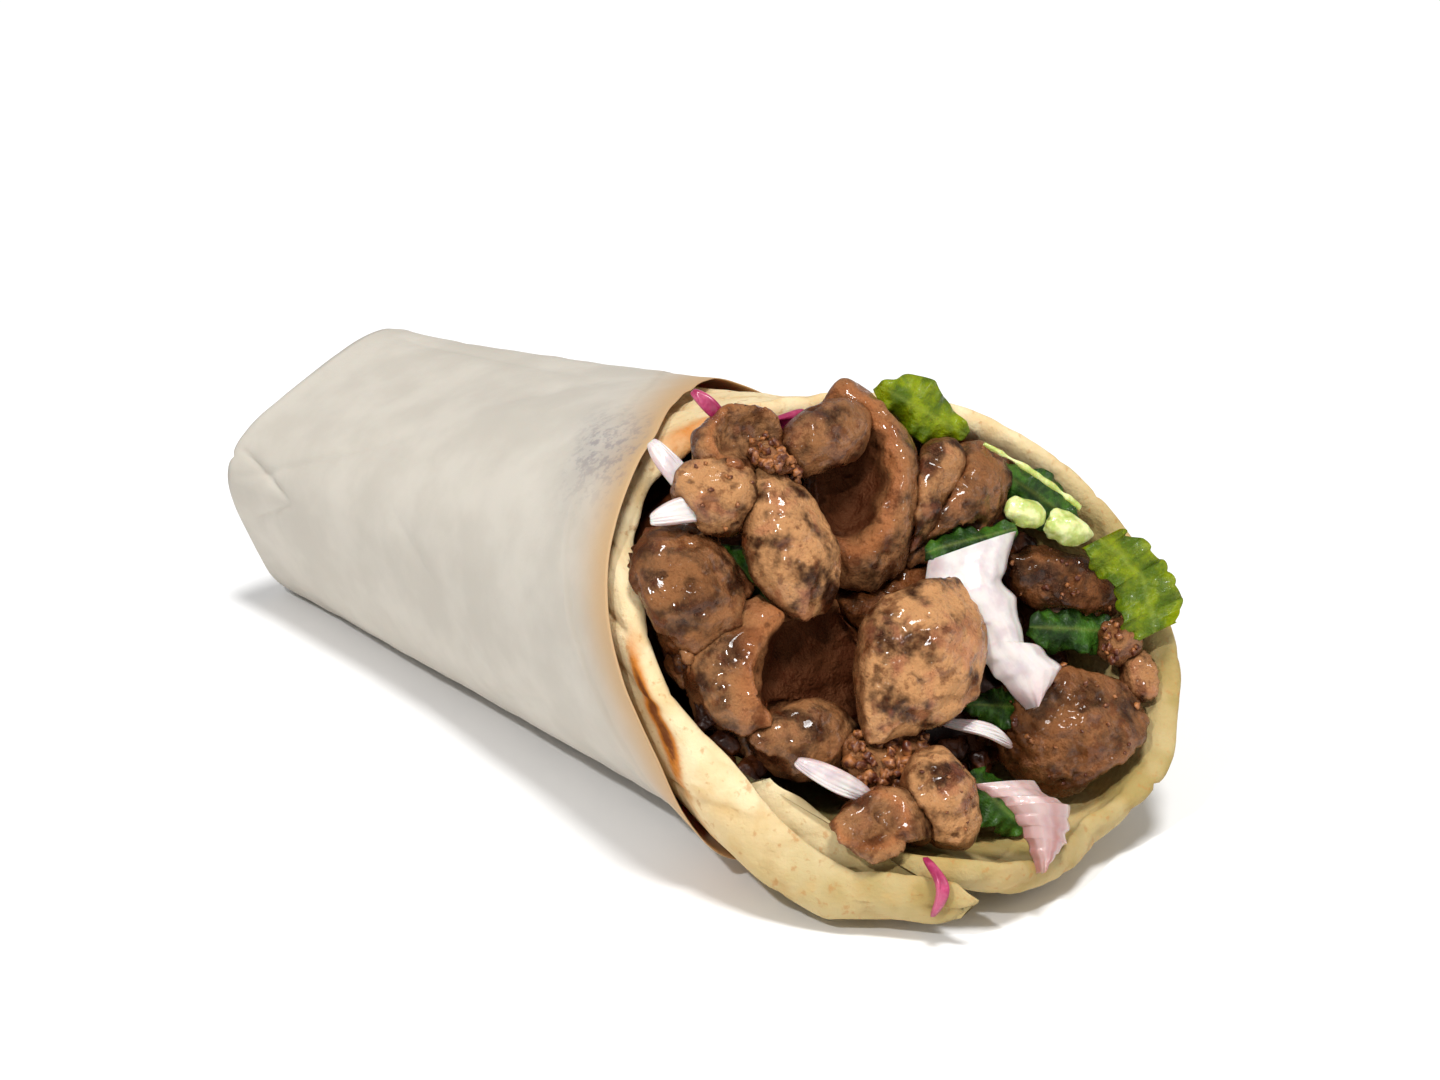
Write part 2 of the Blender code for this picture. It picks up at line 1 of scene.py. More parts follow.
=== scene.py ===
"""The looks of a liver sandwich: a flatbread roll in paper, with fried livers, onion and greens.

Lengths are in metres. The roll lies along X, its folded paper end at -X and its open mouth towards
+X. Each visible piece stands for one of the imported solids, is built where that solid is, and stays
inside the solids' box.
"""
import math
import random

import bmesh
import bpy
import numpy as np
from mathutils import Matrix, Vector, noise


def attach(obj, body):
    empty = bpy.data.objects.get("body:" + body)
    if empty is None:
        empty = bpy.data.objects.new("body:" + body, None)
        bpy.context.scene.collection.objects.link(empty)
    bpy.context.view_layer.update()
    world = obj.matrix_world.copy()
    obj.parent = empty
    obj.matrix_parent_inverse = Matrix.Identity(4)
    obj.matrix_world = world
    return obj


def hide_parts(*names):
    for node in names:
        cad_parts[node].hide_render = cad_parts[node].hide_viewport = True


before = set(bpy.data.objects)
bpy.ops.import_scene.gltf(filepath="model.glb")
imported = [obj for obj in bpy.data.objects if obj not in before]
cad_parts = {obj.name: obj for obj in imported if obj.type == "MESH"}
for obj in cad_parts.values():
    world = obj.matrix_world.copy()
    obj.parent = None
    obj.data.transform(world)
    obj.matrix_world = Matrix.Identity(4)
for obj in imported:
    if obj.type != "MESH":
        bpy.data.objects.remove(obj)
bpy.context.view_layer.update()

MM = 0.001

# The roll, as in its solids: a row of rounded sections from 0 at the folded end to 1 at the mouth.
ROLL_LENGTH = 136 * MM
END_HALF_WIDTH, END_HALF_HEIGHT = 22.3 * MM, 19.3 * MM
MOUTH_HALF_WIDTH, MOUTH_HALF_HEIGHT = 40 * MM, 32.5 * MM
WAIST = 2.4 * MM
END_TWIST = math.radians(26)
END_LEAN, MOUTH_LEAN = math.radians(-6), math.radians(31.5)
MOUTH_SKEW = math.radians(16)
END_SQUARENESS, MOUTH_SQUARENESS = 3.8, 2.07
LOW_CORNER, LOW_CORNER_AT, LOW_CORNER_SPREAD = 6 * MM, math.radians(236), math.radians(48)
SAG = 1.0 * MM
ORIGIN = np.array((14.5, 0.5, 0)) * MM
LAP_START, LAP_END, LAP_EASE = math.radians(208), math.radians(247), math.radians(26)
BREAD_THICK, LAYER_GAP, BREAD_INSET = 3.6 * MM, 0.8 * MM, 1.65 * MM
BREAD_BACK, LIP_DEPTH = 0.07, 9 * MM
CORNER_REACH, CORNER_ARC = 4 * MM, math.radians(24)

# Round the roll, in degrees and mm: how far bread and paper reach past the mouth's plane, and the
# lip's turn-in. Below 0, the lip opens outwards.
RIM_REACH = ((0, 3), (45, 2), (75, -1), (92, -6), (108, -13), (125, -14), (142, -10), (165, -2),
             (190, 1), (212, 5), (235, 10), (255, 17), (275, 12), (295, 8), (315, 6), (340, 4))
PAPER_REACH = ((0, -40), (45, -50), (65, -50), (90, -33), (112, -15), (135, -6), (160, -4),
               (195, -4), (222, -10), (250, -22), (300, -30))
LIP_TURN_IN = ((0, -1.5), (30, -2), (60, -2), (90, -1), (120, 1), (180, 1), (205, 5), (225, 6),
               (245, 3), (262, 4.5), (290, 5.5), (325, 0))

# The paper's creases: from (share along, degrees round) to the same, then width and depth in mm.
PAPER_FOLDS = (
    (0.02, 150, 0.36, 116, 2.2, 0.7), (0.02, 128, 0.16, 158, 1.2, 0.8),
    (0.16, 158, 0.03, 176, 1.2, 0.7), (0.10, 205, 0.48, 222, 2.6, 0.5),
    (0.30, 190, 0.62, 168, 3.0, 0.4), (0.22, 120, 0.55, 136, 3.4, 0.4),
    (0.52, 205, 0.83, 188, 2.4, 0.5), (0.60, 112, 0.84, 128, 2.6, 0.4),
    (0.40, 150, 0.60, 200, 3.0, 0.35), (0.05, 60, 0.50, 80, 2.6, 0.6),
    (0.10, 20, 0.55, -15, 2.4, 0.6), (0.35, 50, 0.62, 10, 2.8, 0.5),
    (0.08, 320, 0.45, 335, 2.4, 0.5), (0.45, 95, 0.68, 70, 2.4, 0.5))
MEAN_RADIUS = 31 * MM
PAPER_SHEET = 0.14 * MM
PAPER_CLEAR, PAPER_DEEPEST = 0.1 * MM, 1.45 * MM  # how far inside the roll's skin the paper stays
PAPER_END_AT = 0.012
LAP_LAST_ANGLE = math.radians(262)
BAND_BEHIND_EDGE = 13 * MM  # the single layer of paper next to the mouth


def paint(red, green, blue):
    """A colour given from 0 to 255 as a screen shows it."""
    def linear(value):
        share = value / 255
        return share / 12.92 if share <= 0.04045 else ((share + 0.055) / 1.055) ** 2.4
    return linear(red), linear(green), linear(blue), 1.0


# ---- shader maths

class Wire:
    """An output in a material's tree. Arithmetic on it adds the Math nodes."""

    def __init__(self, finish, socket):
        self.finish = finish
        self.socket = socket

    def worked(self, operation, first, second):
        return self.finish.node("Math", {"operation": operation}, {0: first, 1: second})

    def __add__(self, other):
        return self.worked("ADD", self, other)

    def __sub__(self, other):
        return self.worked("SUBTRACT", self, other)

    def __rsub__(self, other):
        return self.worked("SUBTRACT", other, self)

    def __mul__(self, other):
        return self.worked("MULTIPLY", self, other)

    __radd__ = __add__
    __rmul__ = __mul__


class Finish:
    """A material being made.

    Fixed values go straight on the shader, and what varies is worked out in wires.
    """

    def __init__(self, name, **fixed):
        self.material = bpy.data.materials.new(name)
        self.material.use_nodes = True
        self.tree = self.material.node_tree
        self.shader = self.tree.nodes["Principled BSDF"]
        for socket, value in fixed.items():
            self.shader.inputs[socket.replace("_", " ")].default_value = value
        self.where = self.node("TexCoord", outlet="Object")

    def node(self, kind, settings=None, sockets=None, outlet=0):
        made = self.tree.nodes.new("ShaderNode" + kind)
        for name, value in (settings or {}).items():
            setattr(made, name, value)
        for name, value in (sockets or {}).items():
            if isinstance(value, Wire):
                self.tree.links.new(value.socket, made.inputs[name])
            else:
                made.inputs[name].default_value = value
        return Wire(self, made.outputs[outlet])

    def cloud(self, size, detail=3.0, rough=0.55):
        """Soft patches about this big, from 0 to 1."""
        return self.node("TexNoise", {}, {"Vector": self.where, "Scale": 1 / size,
                                          "Detail": detail, "Roughness": rough})

    def mask(self, name):
        """A value stored on the mesh when its piece was made."""
        return self.node("Attribute", {"attribute_name": name}, outlet="Fac")

    def band(self, value, low, high):
        """0 up to low and 1 from high on, smooth between."""
        return self.node("MapRange", {"interpolation_type": "SMOOTHSTEP"},
                         {"Value": value, "From Min": low, "From Max": high})

    def tint(self, share, under, over):
        """One colour laid over another to this share."""
        return self.node("Mix", {"data_type": "RGBA"}, {0: share, 6: under, 7: over}, outlet=2)

    def done(self, height, depth, **varying):
        """Links the relief, this deep, and what else varies."""
        varying["Normal"] = self.node("Bump", {}, {"Height": height, "Distance": depth})
        for socket, wire in varying.items():
            self.tree.links.new(wire.socket, self.shader.inputs[socket.replace("_", " ")])
        return self.material


# ---- finishes

def greaseproof_paper():
    paper = Finish("greaseproof_paper", Specular_IOR_Level=0.3, Subsurface_Weight=0.05,
                   Subsurface_Scale=1.5 * MM)
    pulp = paper.cloud(11 * MM, 4)
    base = paper.tint(paper.band(pulp, 0.35, 0.7), paint(190, 182, 170), paint(200, 192, 180))
    base = paper.tint(paper.mask("near_edge") * 0.9, base, paint(190, 153, 106))
    base = paper.tint(paper.mask("step") * 0.3, base, paint(170, 158, 142))
    mottle = paper.band(paper.cloud(1.9 * MM, 4, 0.7), 0.47, 0.6)
    grease = paper.mask("grease")
    base = paper.tint(grease * (mottle * 0.42 + 0.2), base, paint(124, 115, 120))
    fibres = paper.cloud(0.5 * MM, 3)
    return paper.done(fibres, 0.025 * MM, Base_Color=base, Roughness=0.62 - grease * 0.22)


def baked_flatbread():
    bread = Finish("baked_flatbread", Subsurface_Weight=0.12, Subsurface_Scale=1.5 * MM,
                   Specular_IOR_Level=0.3)
    dough = bread.cloud(8 * MM, 4)
    pale_crust = bread.band(dough, 0.35, 0.68)
    base = bread.tint(pale_crust, paint(220, 194, 146), paint(234, 214, 172))
    cream = bread.band(bread.cloud(9 * MM, 2), 0.42, 0.6)
    # painted shade: a darker tan on the roll's low and far sides, where less light falls
    base = bread.tint(bread.mask("tan") * (0.95 - cream * 0.25), base, paint(160, 138, 78))
    # painted shade: darker brown along the bread's pressed-in creases
    base = bread.tint(bread.mask("crease") * 0.3, base, paint(176, 132, 74))
    blush = bread.band(bread.cloud(5 * MM, 3), 0.5, 0.72)
    base = bread.tint(blush * 0.4, base, paint(200, 160, 96))
    freckle = bread.band(bread.cloud(1.4 * MM, 3), 0.58, 0.72)
    base = bread.tint(freckle * 0.5, base, paint(176, 118, 58))
    toast = bread.mask("toast")
    uneven = bread.cloud(2.2 * MM, 3) * 0.7 + 0.55
    base = bread.tint(bread.band(toast * uneven, 0.06, 0.62), base, paint(196, 120, 42))
    base = bread.tint(bread.band(toast * uneven, 0.55, 0.95), base, paint(112, 58, 18))
    flour = bread.cloud(0.7 * MM, 4) * 0.5 + bread.cloud(3 * MM, 4) * 1.2
    return bread.done(flour, 0.3 * MM, Base_Color=base, Roughness=0.72 - toast * 0.15)


def fried_liver():
    liver = Finish("fried_liver", Coat_Roughness=0.06, Specular_IOR_Level=0.4,
                   Specular_Tint=(1, 0.5, 0.25, 1), Subsurface_Weight=0.05,
                   Subsurface_Scale=1 * MM)
    tone = liver.cloud(5 * MM, 4)
    pale = liver.mask("pale")
    hollow = liver.mask("hollow")
    base = liver.tint(liver.band(tone, 0.41, 0.58), paint(38, 15, 5), paint(104, 58, 28))
    base = liver.tint(pale * liver.band(tone, 0.35, 0.54), base, paint(190, 139, 92))
    rosy = liver.band(liver.cloud(4 * MM, 2), 0.52, 0.68)
    base = liver.tint(rosy * pale * 0.5, base, paint(158, 90, 64))
    # orange on raised rims: partly the seared edge's own colour, partly a painted highlight where rims
    # catch the light
    base = liver.tint(liver.mask("rim") * 0.6, base, paint(164, 98, 56))
    # painted shade: darker brown where the liver turns away from the mouth's front
    base = liver.tint(liver.mask("side") * 0.75, base, paint(82, 40, 16))
    seared = liver.band(liver.cloud(3 * MM, 5, 0.65), 0.54, 0.64)
    base = liver.tint(seared * 0.6, base, paint(80, 34, 10))
    specks = liver.band(liver.cloud(0.9 * MM, 4, 0.7), 0.57, 0.64)
    base = liver.tint(specks * 0.4, base, paint(80, 30, 8))
    base = liver.tint(liver.mask("crag") * 0.45, base, paint(112, 64, 30))
    # dark in the hollows: partly sauce pooled there, partly painted shade
    base = liver.tint(hollow * 0.94, base, paint(52, 15, 2))
    # dark pits: partly the pores' own colour, partly painted shade in the dents
    base = liver.tint(liver.mask("pit"), base, paint(44, 14, 4))
    grain = liver.cloud(0.7 * MM, 5, 0.6) + liver.cloud(1.7 * MM, 3) * 1.3
    wet = liver.band(liver.cloud(4 * MM, 3), 0.4, 0.56)
    return liver.done(grain, 0.42 * MM, Base_Color=base,
                      Roughness=0.44 - wet * 0.2 + hollow * 0.25,
                      Coat_Weight=(wet * 0.4 + 0.05) * (1 - hollow))


def packed_filling():
    # dark brown chopped liver: partly the sauce's own dark, partly painted shade for the gaps between
    # the pieces
    dark = Finish("packed_filling", Coat_Roughness=0.15, Coat_Weight=0.1, Specular_IOR_Level=0.3)
    tone = dark.band(dark.cloud(4 * MM, 4), 0.4, 0.65)
    base = dark.tint(tone, paint(42, 16, 5), paint(92, 46, 18))
    return dark.done(dark.cloud(1 * MM, 4), 0.3 * MM, Base_Color=base,
                     Roughness=0.5 - dark.cloud(3 * MM) * 0.2)


def raw_onion():
    onion = Finish("raw_onion", Subsurface_Weight=0.35, Subsurface_Scale=2 * MM,
                   Coat_Weight=0.35, Coat_Roughness=0.12)
    veins = onion.cloud(3 * MM, 3)
    base = onion.tint(onion.band(veins, 0.4, 0.7), paint(226, 217, 212), paint(204, 190, 191))
    base = onion.tint(onion.mask("blush") * 0.85, base, paint(164, 104, 96))
    base = onion.tint(onion.mask("ribs") * 0.2, base, paint(196, 180, 180))
    return onion.done(onion.mask("ribs") * 0.6 + veins * 0.6, 0.12 * MM, Base_Color=base,
                      Roughness=0.4 - veins * 0.15)


def salad_leaf(name, dark, bright):
    leaf = Finish(name, Subsurface_Weight=0.12, Subsurface_Scale=1 * MM, Coat_Weight=0.06,
                  Coat_Roughness=0.12, Specular_IOR_Level=0.22)
    patches = leaf.cloud(3.5 * MM, 4)
    base = leaf.tint(leaf.band(patches, 0.38, 0.66), dark, bright)
    shade = leaf.band(leaf.cloud(2 * MM, 4, 0.65), 0.5, 0.66)
    base = leaf.tint(shade * 0.5, base, dark)
    base = leaf.tint(leaf.mask("vein") * 0.18, base, paint(168, 180, 84))
    blister = leaf.cloud(1.3 * MM, 4, 0.6)
    return leaf.done(blister, 0.5 * MM, Base_Color=base, Roughness=0.5 - patches * 0.2)


def pale_rib():
    rib = Finish("pale_rib", Subsurface_Weight=0.3, Subsurface_Scale=1.5 * MM, Coat_Weight=0.4,
                 Coat_Roughness=0.15)
    tone = rib.band(rib.cloud(2.5 * MM, 3), 0.4, 0.65)
    base = rib.tint(tone, paint(176, 190, 92), paint(222, 226, 160))
    return rib.done(rib.cloud(0.8 * MM, 3), 0.2 * MM, Base_Color=base)


def red_cabbage():
    cabbage = Finish("red_cabbage", Subsurface_Weight=0.15, Subsurface_Scale=1 * MM,
                     Coat_Weight=0.5, Coat_Roughness=0.15)
    tone = cabbage.band(cabbage.cloud(2.4 * MM, 3), 0.4, 0.7)
    base = cabbage.tint(tone, paint(150, 18, 74), paint(196, 74, 116))
    return cabbage.done(cabbage.cloud(0.7 * MM, 3), 0.1 * MM, Base_Color=base)


def fried_crumb():
    crumb = Finish("fried_crumb", Coat_Weight=0.2, Coat_Roughness=0.15)
    tone = crumb.band(crumb.cloud(1.3 * MM, 2), 0.38, 0.66)
    base = crumb.tint(tone, paint(84, 34, 10), paint(172, 108, 56))
    return crumb.done(crumb.cloud(0.4 * MM, 3), 0.1 * MM, Base_Color=base)


# ---- the roll's form

def mix(a, b, share):
    return a + (b - a) * share


def ease(share):
    """0 to 1 with a smooth start and end."""
    share = np.clip(share, 0, 1)
    return share * share * (3 - 2 * share)


def round_the_roll(table, theta):
    """Lengths read from (degrees, mm) pairs that go once round, smooth between them."""
    stops = [pair[0] for pair in table] + [table[0][0] + 360]
    values = np.array([pair[1] for pair in table] + [table[0][1]], float)
    at = np.interp(np.degrees(theta) % 360, stops, range(len(stops)))
    step = np.minimum(np.floor(at).astype(int), len(stops) - 2)
    return mix(values[step], values[step + 1], ease(at - step)) * MM


def section_point(k, theta, inset):
    width = mix(END_HALF_WIDTH, MOUTH_HALF_WIDTH, k) - WAIST * 4 * k * (1 - k) - inset
    height = mix(END_HALF_HEIGHT, MOUTH_HALF_HEIGHT, k) - inset
    power = 2 / mix(END_SQUARENESS, MOUTH_SQUARENESS, np.sqrt(k))
    across = np.sign(np.cos(theta)) * np.abs(np.cos(theta)) ** power * width
    up = np.sign(np.sin(theta)) * np.abs(np.sin(theta)) ** power * height
    twist = END_TWIST * (1 - k) ** 1.5
    return across * np.cos(twist) - up * np.sin(twist), across * np.sin(twist) + up * np.cos(twist)


STATIONS = np.linspace(0, 1, 201)
ALL_ROUND = np.radians(np.arange(0, 360, 3))
AXIS_HEIGHTS = -np.array([section_point(k, ALL_ROUND, 0)[1].min() for k in STATIONS])


def skin(k, theta, inset):
    """Points on the roll, inset below its outer skin, with the underside pressed flat on the floor."""
    inner = np.clip(k, 0, 1)
    off_corner = np.abs((theta - LOW_CORNER_AT + math.pi) % math.tau - math.pi)
    pressed = LOW_CORNER * ease(1 - off_corner / LOW_CORNER_SPREAD) * ease((inner - 0.8) / 0.2)
    y, z = section_point(inner, theta, inset - pressed)
    lean = np.tan(mix(END_LEAN, MOUTH_LEAN, inner))
    x = ROLL_LENGTH * (k - 0.5) - z * lean + y * np.tan(MOUTH_SKEW * inner)
    z = np.maximum(z + np.interp(inner, STATIONS, AXIS_HEIGHTS) - SAG, inset)
    return np.stack([x, y, z], -1) - ORIGIN


def mouth_frame():
    """The mouth's plane: its X is across, its Y up and its Z out."""
    out = Vector((1, -math.tan(MOUTH_SKEW), math.tan(MOUTH_LEAN))).normalized()
    up = Vector((-math.sin(MOUTH_LEAN), 0, math.cos(MOUTH_LEAN)))
    up = (up - out * up.dot(out)).normalized()
    turned = Matrix((up.cross(out), up, out)).transposed()
    centre = Vector((ROLL_LENGTH / 2, 0, MOUTH_HALF_HEIGHT - SAG)) - Vector(ORIGIN)
    return Matrix.Translation(centre) @ turned.to_4x4()


def rim(theta):
    return 1 + round_the_roll(RIM_REACH, theta) / ROLL_LENGTH


def paper_edge(theta):
    """The paper's edge, averaged over a few degrees so that it runs evenly."""
    nearby = (-12, -6, 0, 6, 12)
    reach = sum(round_the_roll(PAPER_REACH, theta + math.radians(off)) for off in nearby)
    return 1 + reach / len(nearby) / ROLL_LENGTH


# ---- meshes

def cloud_at(points, size, seed):
    """Smooth noise from -1 to 1 at each of many points."""
    shift = Vector((seed * 3.7, seed * 1.9, seed * 5.3))
    flat = points.reshape(-1, 3) / size
    return np.array([noise.noise(Vector(p) + shift) for p in flat]).reshape(points.shape[:-1])


def grid_mesh(name, points, closed=False, masks=None):
    """A mesh over points[row, column]. Masks are values at the same places."""
    rows, columns = points.shape[:2]
    number = np.arange(rows * columns).reshape(rows, columns)
    right = np.roll(number, -1, axis=1) if closed else number[:, 1:]
    left = number if closed else number[:, :-1]
    faces = np.stack([left[:-1], right[:-1], right[1:], left[1:]], -1).reshape(-1, 4)
    mesh = bpy.data.meshes.new(name)
    mesh.from_pydata(points.reshape(-1, 3).tolist(), [], faces.tolist())
    for mask, values in (masks or {}).items():
        store(mesh, mask, values)
    return mesh


def store(mesh, mask, values):
    made = mesh.attributes.new(mask, "FLOAT", "POINT")
    made.data.foreach_set("value", np.ascontiguousarray(values, dtype=np.float32).ravel())


def stand_for(mesh, node, material, extra=""):
    """Puts a finished mesh on the roll in the place of a solid."""
    mesh.shade_smooth()
    mesh.materials.clear()
    mesh.materials.append(material)
    piece = bpy.data.objects.new(node + "_dressed" + extra, mesh)
    bpy.context.scene.collection.objects.link(piece)
    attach(piece, "root")
    if not extra:
        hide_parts(node)


def with_modifiers(mesh, *steps):
    """The mesh after modifiers, each given as (kind, settings)."""
    made = bpy.data.objects.new("work", mesh)
    bpy.context.scene.collection.objects.link(made)
    for kind, settings in steps:
        step = made.modifiers.new(kind, kind)
        for name, value in settings.items():
            setattr(step, name, value)
    bpy.context.view_layer.update()
    worked = made.evaluated_get(bpy.context.evaluated_depsgraph_get())
    result = bpy.data.meshes.new_from_object(worked)
    bpy.data.objects.remove(made)
    return result


def move_points(mesh, points):
    mesh.vertices.foreach_set("co", points.astype(np.float32).ravel())


def points_of(mesh):
    flat = np.empty(len(mesh.vertices) * 3, np.float32)
    mesh.vertices.foreach_get("co", flat)
    return flat.reshape(-1, 3).astype(float)


def normals_of(mesh):
    flat = np.empty(len(mesh.vertices) * 3, np.float32)
    mesh.vertex_normals.foreach_get("vector", flat)
    return flat.reshape(-1, 3).astype(float)


# ---- paper

def crumple(points, seed, count=5, low=26 * MM, high=60 * MM):
    """Soft swells with sharp creases between them, from 0 to 1. Few of them run round the roll."""
    draw = np.random.default_rng(seed)
    total = np.zeros(points.shape[:-1])
    for _ in range(count):
        way = draw.normal(size=3) * (0.55, 1, 1)
        way /= np.linalg.norm(way)
        turns = points @ way / draw.uniform(low, high) + draw.uniform(0, 1)
        total += np.abs(np.sin(math.pi * turns))
    return 1 - total / count


def fold_depth(k, theta):
    """How deep the named creases press the paper in."""
    depth = np.zeros(np.broadcast(k, theta).shape)
    for start_k, start_angle, end_k, end_angle, width, deep in PAPER_FOLDS:
        start = np.array((start_k * ROLL_LENGTH, math.radians(start_angle) * MEAN_RADIUS))
        run = np.array((end_k * ROLL_LENGTH, math.radians(end_angle) * MEAN_RADIUS)) - start
        along = k * ROLL_LENGTH - start[0]
        around = (theta - math.radians(start_angle) + math.pi) % math.tau - math.pi
        around = around * MEAN_RADIUS
        share = np.clip((along * run[0] + around * run[1]) / (run @ run), 0, 1)
        gap = np.hypot(along - share * run[0], around - share * run[1])
        depth += deep * MM * np.exp(-gap / (width * MM)) * np.sqrt(4 * share * (1 - share) + 0.02)
    return depth


def paper_sleeve(material, columns=230, rows=120, end_rows=22):
    """The paper round the roll, its end folded shut like a parcel's and its mouth edge slanting."""
    theta = np.linspace(0, math.tau, columns, endpoint=False)[None, :]
    share = np.linspace(0, 1, rows)[:, None]
    edge = paper_edge(theta)
    k = mix(PAPER_END_AT, edge, share)
    plain = skin(k, theta, PAPER_CLEAR)
    behind = (edge - k) * ROLL_LENGTH
    past_band = behind - BAND_BEHIND_EDGE - 2 * MM * np.sin(3 * theta)
    step = ease(past_band / (0.8 * MM))
    calm = mix(0.25, 1, ease((behind - 8 * MM) / (25 * MM)))
    inset = PAPER_CLEAR + 1.1 * MM * crumple(plain, 4) * calm + fold_depth(k, theta) * calm
    inset += 0.22 * MM * (1 - step)
    inset += 0.12 * MM * (cloud_at(plain, 5 * MM, 2) + 1)
    inset = np.minimum(inset, PAPER_DEEPEST)
    sleeve = skin(k, theta, inset)
    ring = skin(np.zeros_like(theta), theta, 1.0 * MM)[0]
    centre = ring.mean(0)
    reach = np.linspace(0.02, 1, end_rows)[:, None]
    pleat = np.zeros((end_rows, columns))
    for corner in np.radians((45, 135, 225, 315)):
        away = np.abs((theta - corner + math.pi) % math.tau - math.pi) * reach * END_HALF_WIDTH
        pleat += 0.9 * MM * np.exp(-away / (0.9 * MM)) * reach
    cap = mix(centre, ring[None], reach[..., None])
    crushed = 0.5 * MM * crumple(cap, 9, low=6 * MM, high=14 * MM)
    cap[..., 0] += pleat + crushed - 1.2 * MM * (1 - reach ** 2)
    everything = np.concatenate([cap, sleeve])
    near = np.exp(-(behind / (9 * MM)) ** 2)
    angle = np.degrees(theta)
    grease = np.exp(-((angle - 122) / 16) ** 2) * ease((behind - 1 * MM) / (3 * MM))
    grease = grease * ease((26 * MM - behind) / (9 * MM))
    line = np.exp(-(past_band / (0.7 * MM)) ** 2)
    blank = np.zeros((end_rows, columns))
    masks = {name: np.concatenate([blank, values])
             for name, values in (("near_edge", near), ("grease", grease), ("step", line))}
    mesh = grid_mesh("paper", everything, closed=True, masks=masks)
    bm = bmesh.new()
    bm.from_mesh(mesh)
    bm.verts.ensure_lookup_table()
    bm.faces.new([bm.verts[i] for i in reversed(range(columns))])
    bmesh.ops.recalc_face_normals(bm, faces=bm.faces)
    bm.to_mesh(mesh)
    bm.free()
    sheet = with_modifiers(mesh, ("SOLIDIFY", {"thickness": PAPER_SHEET, "offset": -1.0}))
    stand_for(sheet, "paper_wrap", material)


def paper_lap(material, columns=40, rows=120):
    """The paper's second layer: the sheet's own edge, lying along the low near side."""
    share = np.linspace(0, 1, rows)[:, None]
    aside = np.linspace(0, 1, columns)[None, :]
    start = np.radians(226 + 20 * share + 3 * np.sin(7 * share))
    theta = mix(start, LAP_LAST_ANGLE, aside)
    k = mix(0.015, 0.8, share) + 0 * aside
    plain = skin(k, theta, PAPER_CLEAR)
    lift = 0.16 * MM + 0.06 * MM * (1 + cloud_at(plain, 6 * MM, 5))
    line = np.exp(-(aside / 0.05) ** 2) + 0 * share
    masks = {"near_edge": 0 * k, "grease": 0 * k, "step": line}
    mesh = grid_mesh("paper_lap", skin(k, theta, lift), masks=masks)
    sheet = with_modifiers(mesh, ("SOLIDIFY", {"thickness": PAPER_SHEET, "offset": 0.0}))
    stand_for(sheet, "paper_wrap", material, "_lap")


# ---- bread

def toast_mask(turned, behind_rim, inside):
    """Where the griddle browned the bread."""
    angle = np.degrees(turned) % 360
    past_paper = (rim(turned) - paper_edge(turned)) * ROLL_LENGTH - behind_rim

    def patch(round_at, wide, distance, lies_at, deep):
        lengthwise = np.exp(-((distance - lies_at * MM) / (deep * MM)) ** 2)
        return np.exp(-((angle - round_at) / wide) ** 2) * lengthwise

    left = patch(188, 17, past_paper, 1.6, 1.5) * (1 - inside)
    low = patch(226, 13, past_paper, 2.6, 0.7) * (1 - inside)
    far = patch(42, 20, behind_rim, 7, 3.5) * inside
    top = patch(108, 14, behind_rim, 0, 5)
    return np.clip(left * 1.2 + low * 0.9 + far * 0.75 + top * 0.55, 0, 1)


def tan_mask(turned):
    """Painted shade: the bread is darker from its low near side, round below, up to its far side, where
    less light falls.
    """
    angle = (np.degrees(turned) - 90) % 360 + 90
    return ease((angle - 200) / 40) * ease((410 - angle) / 40)


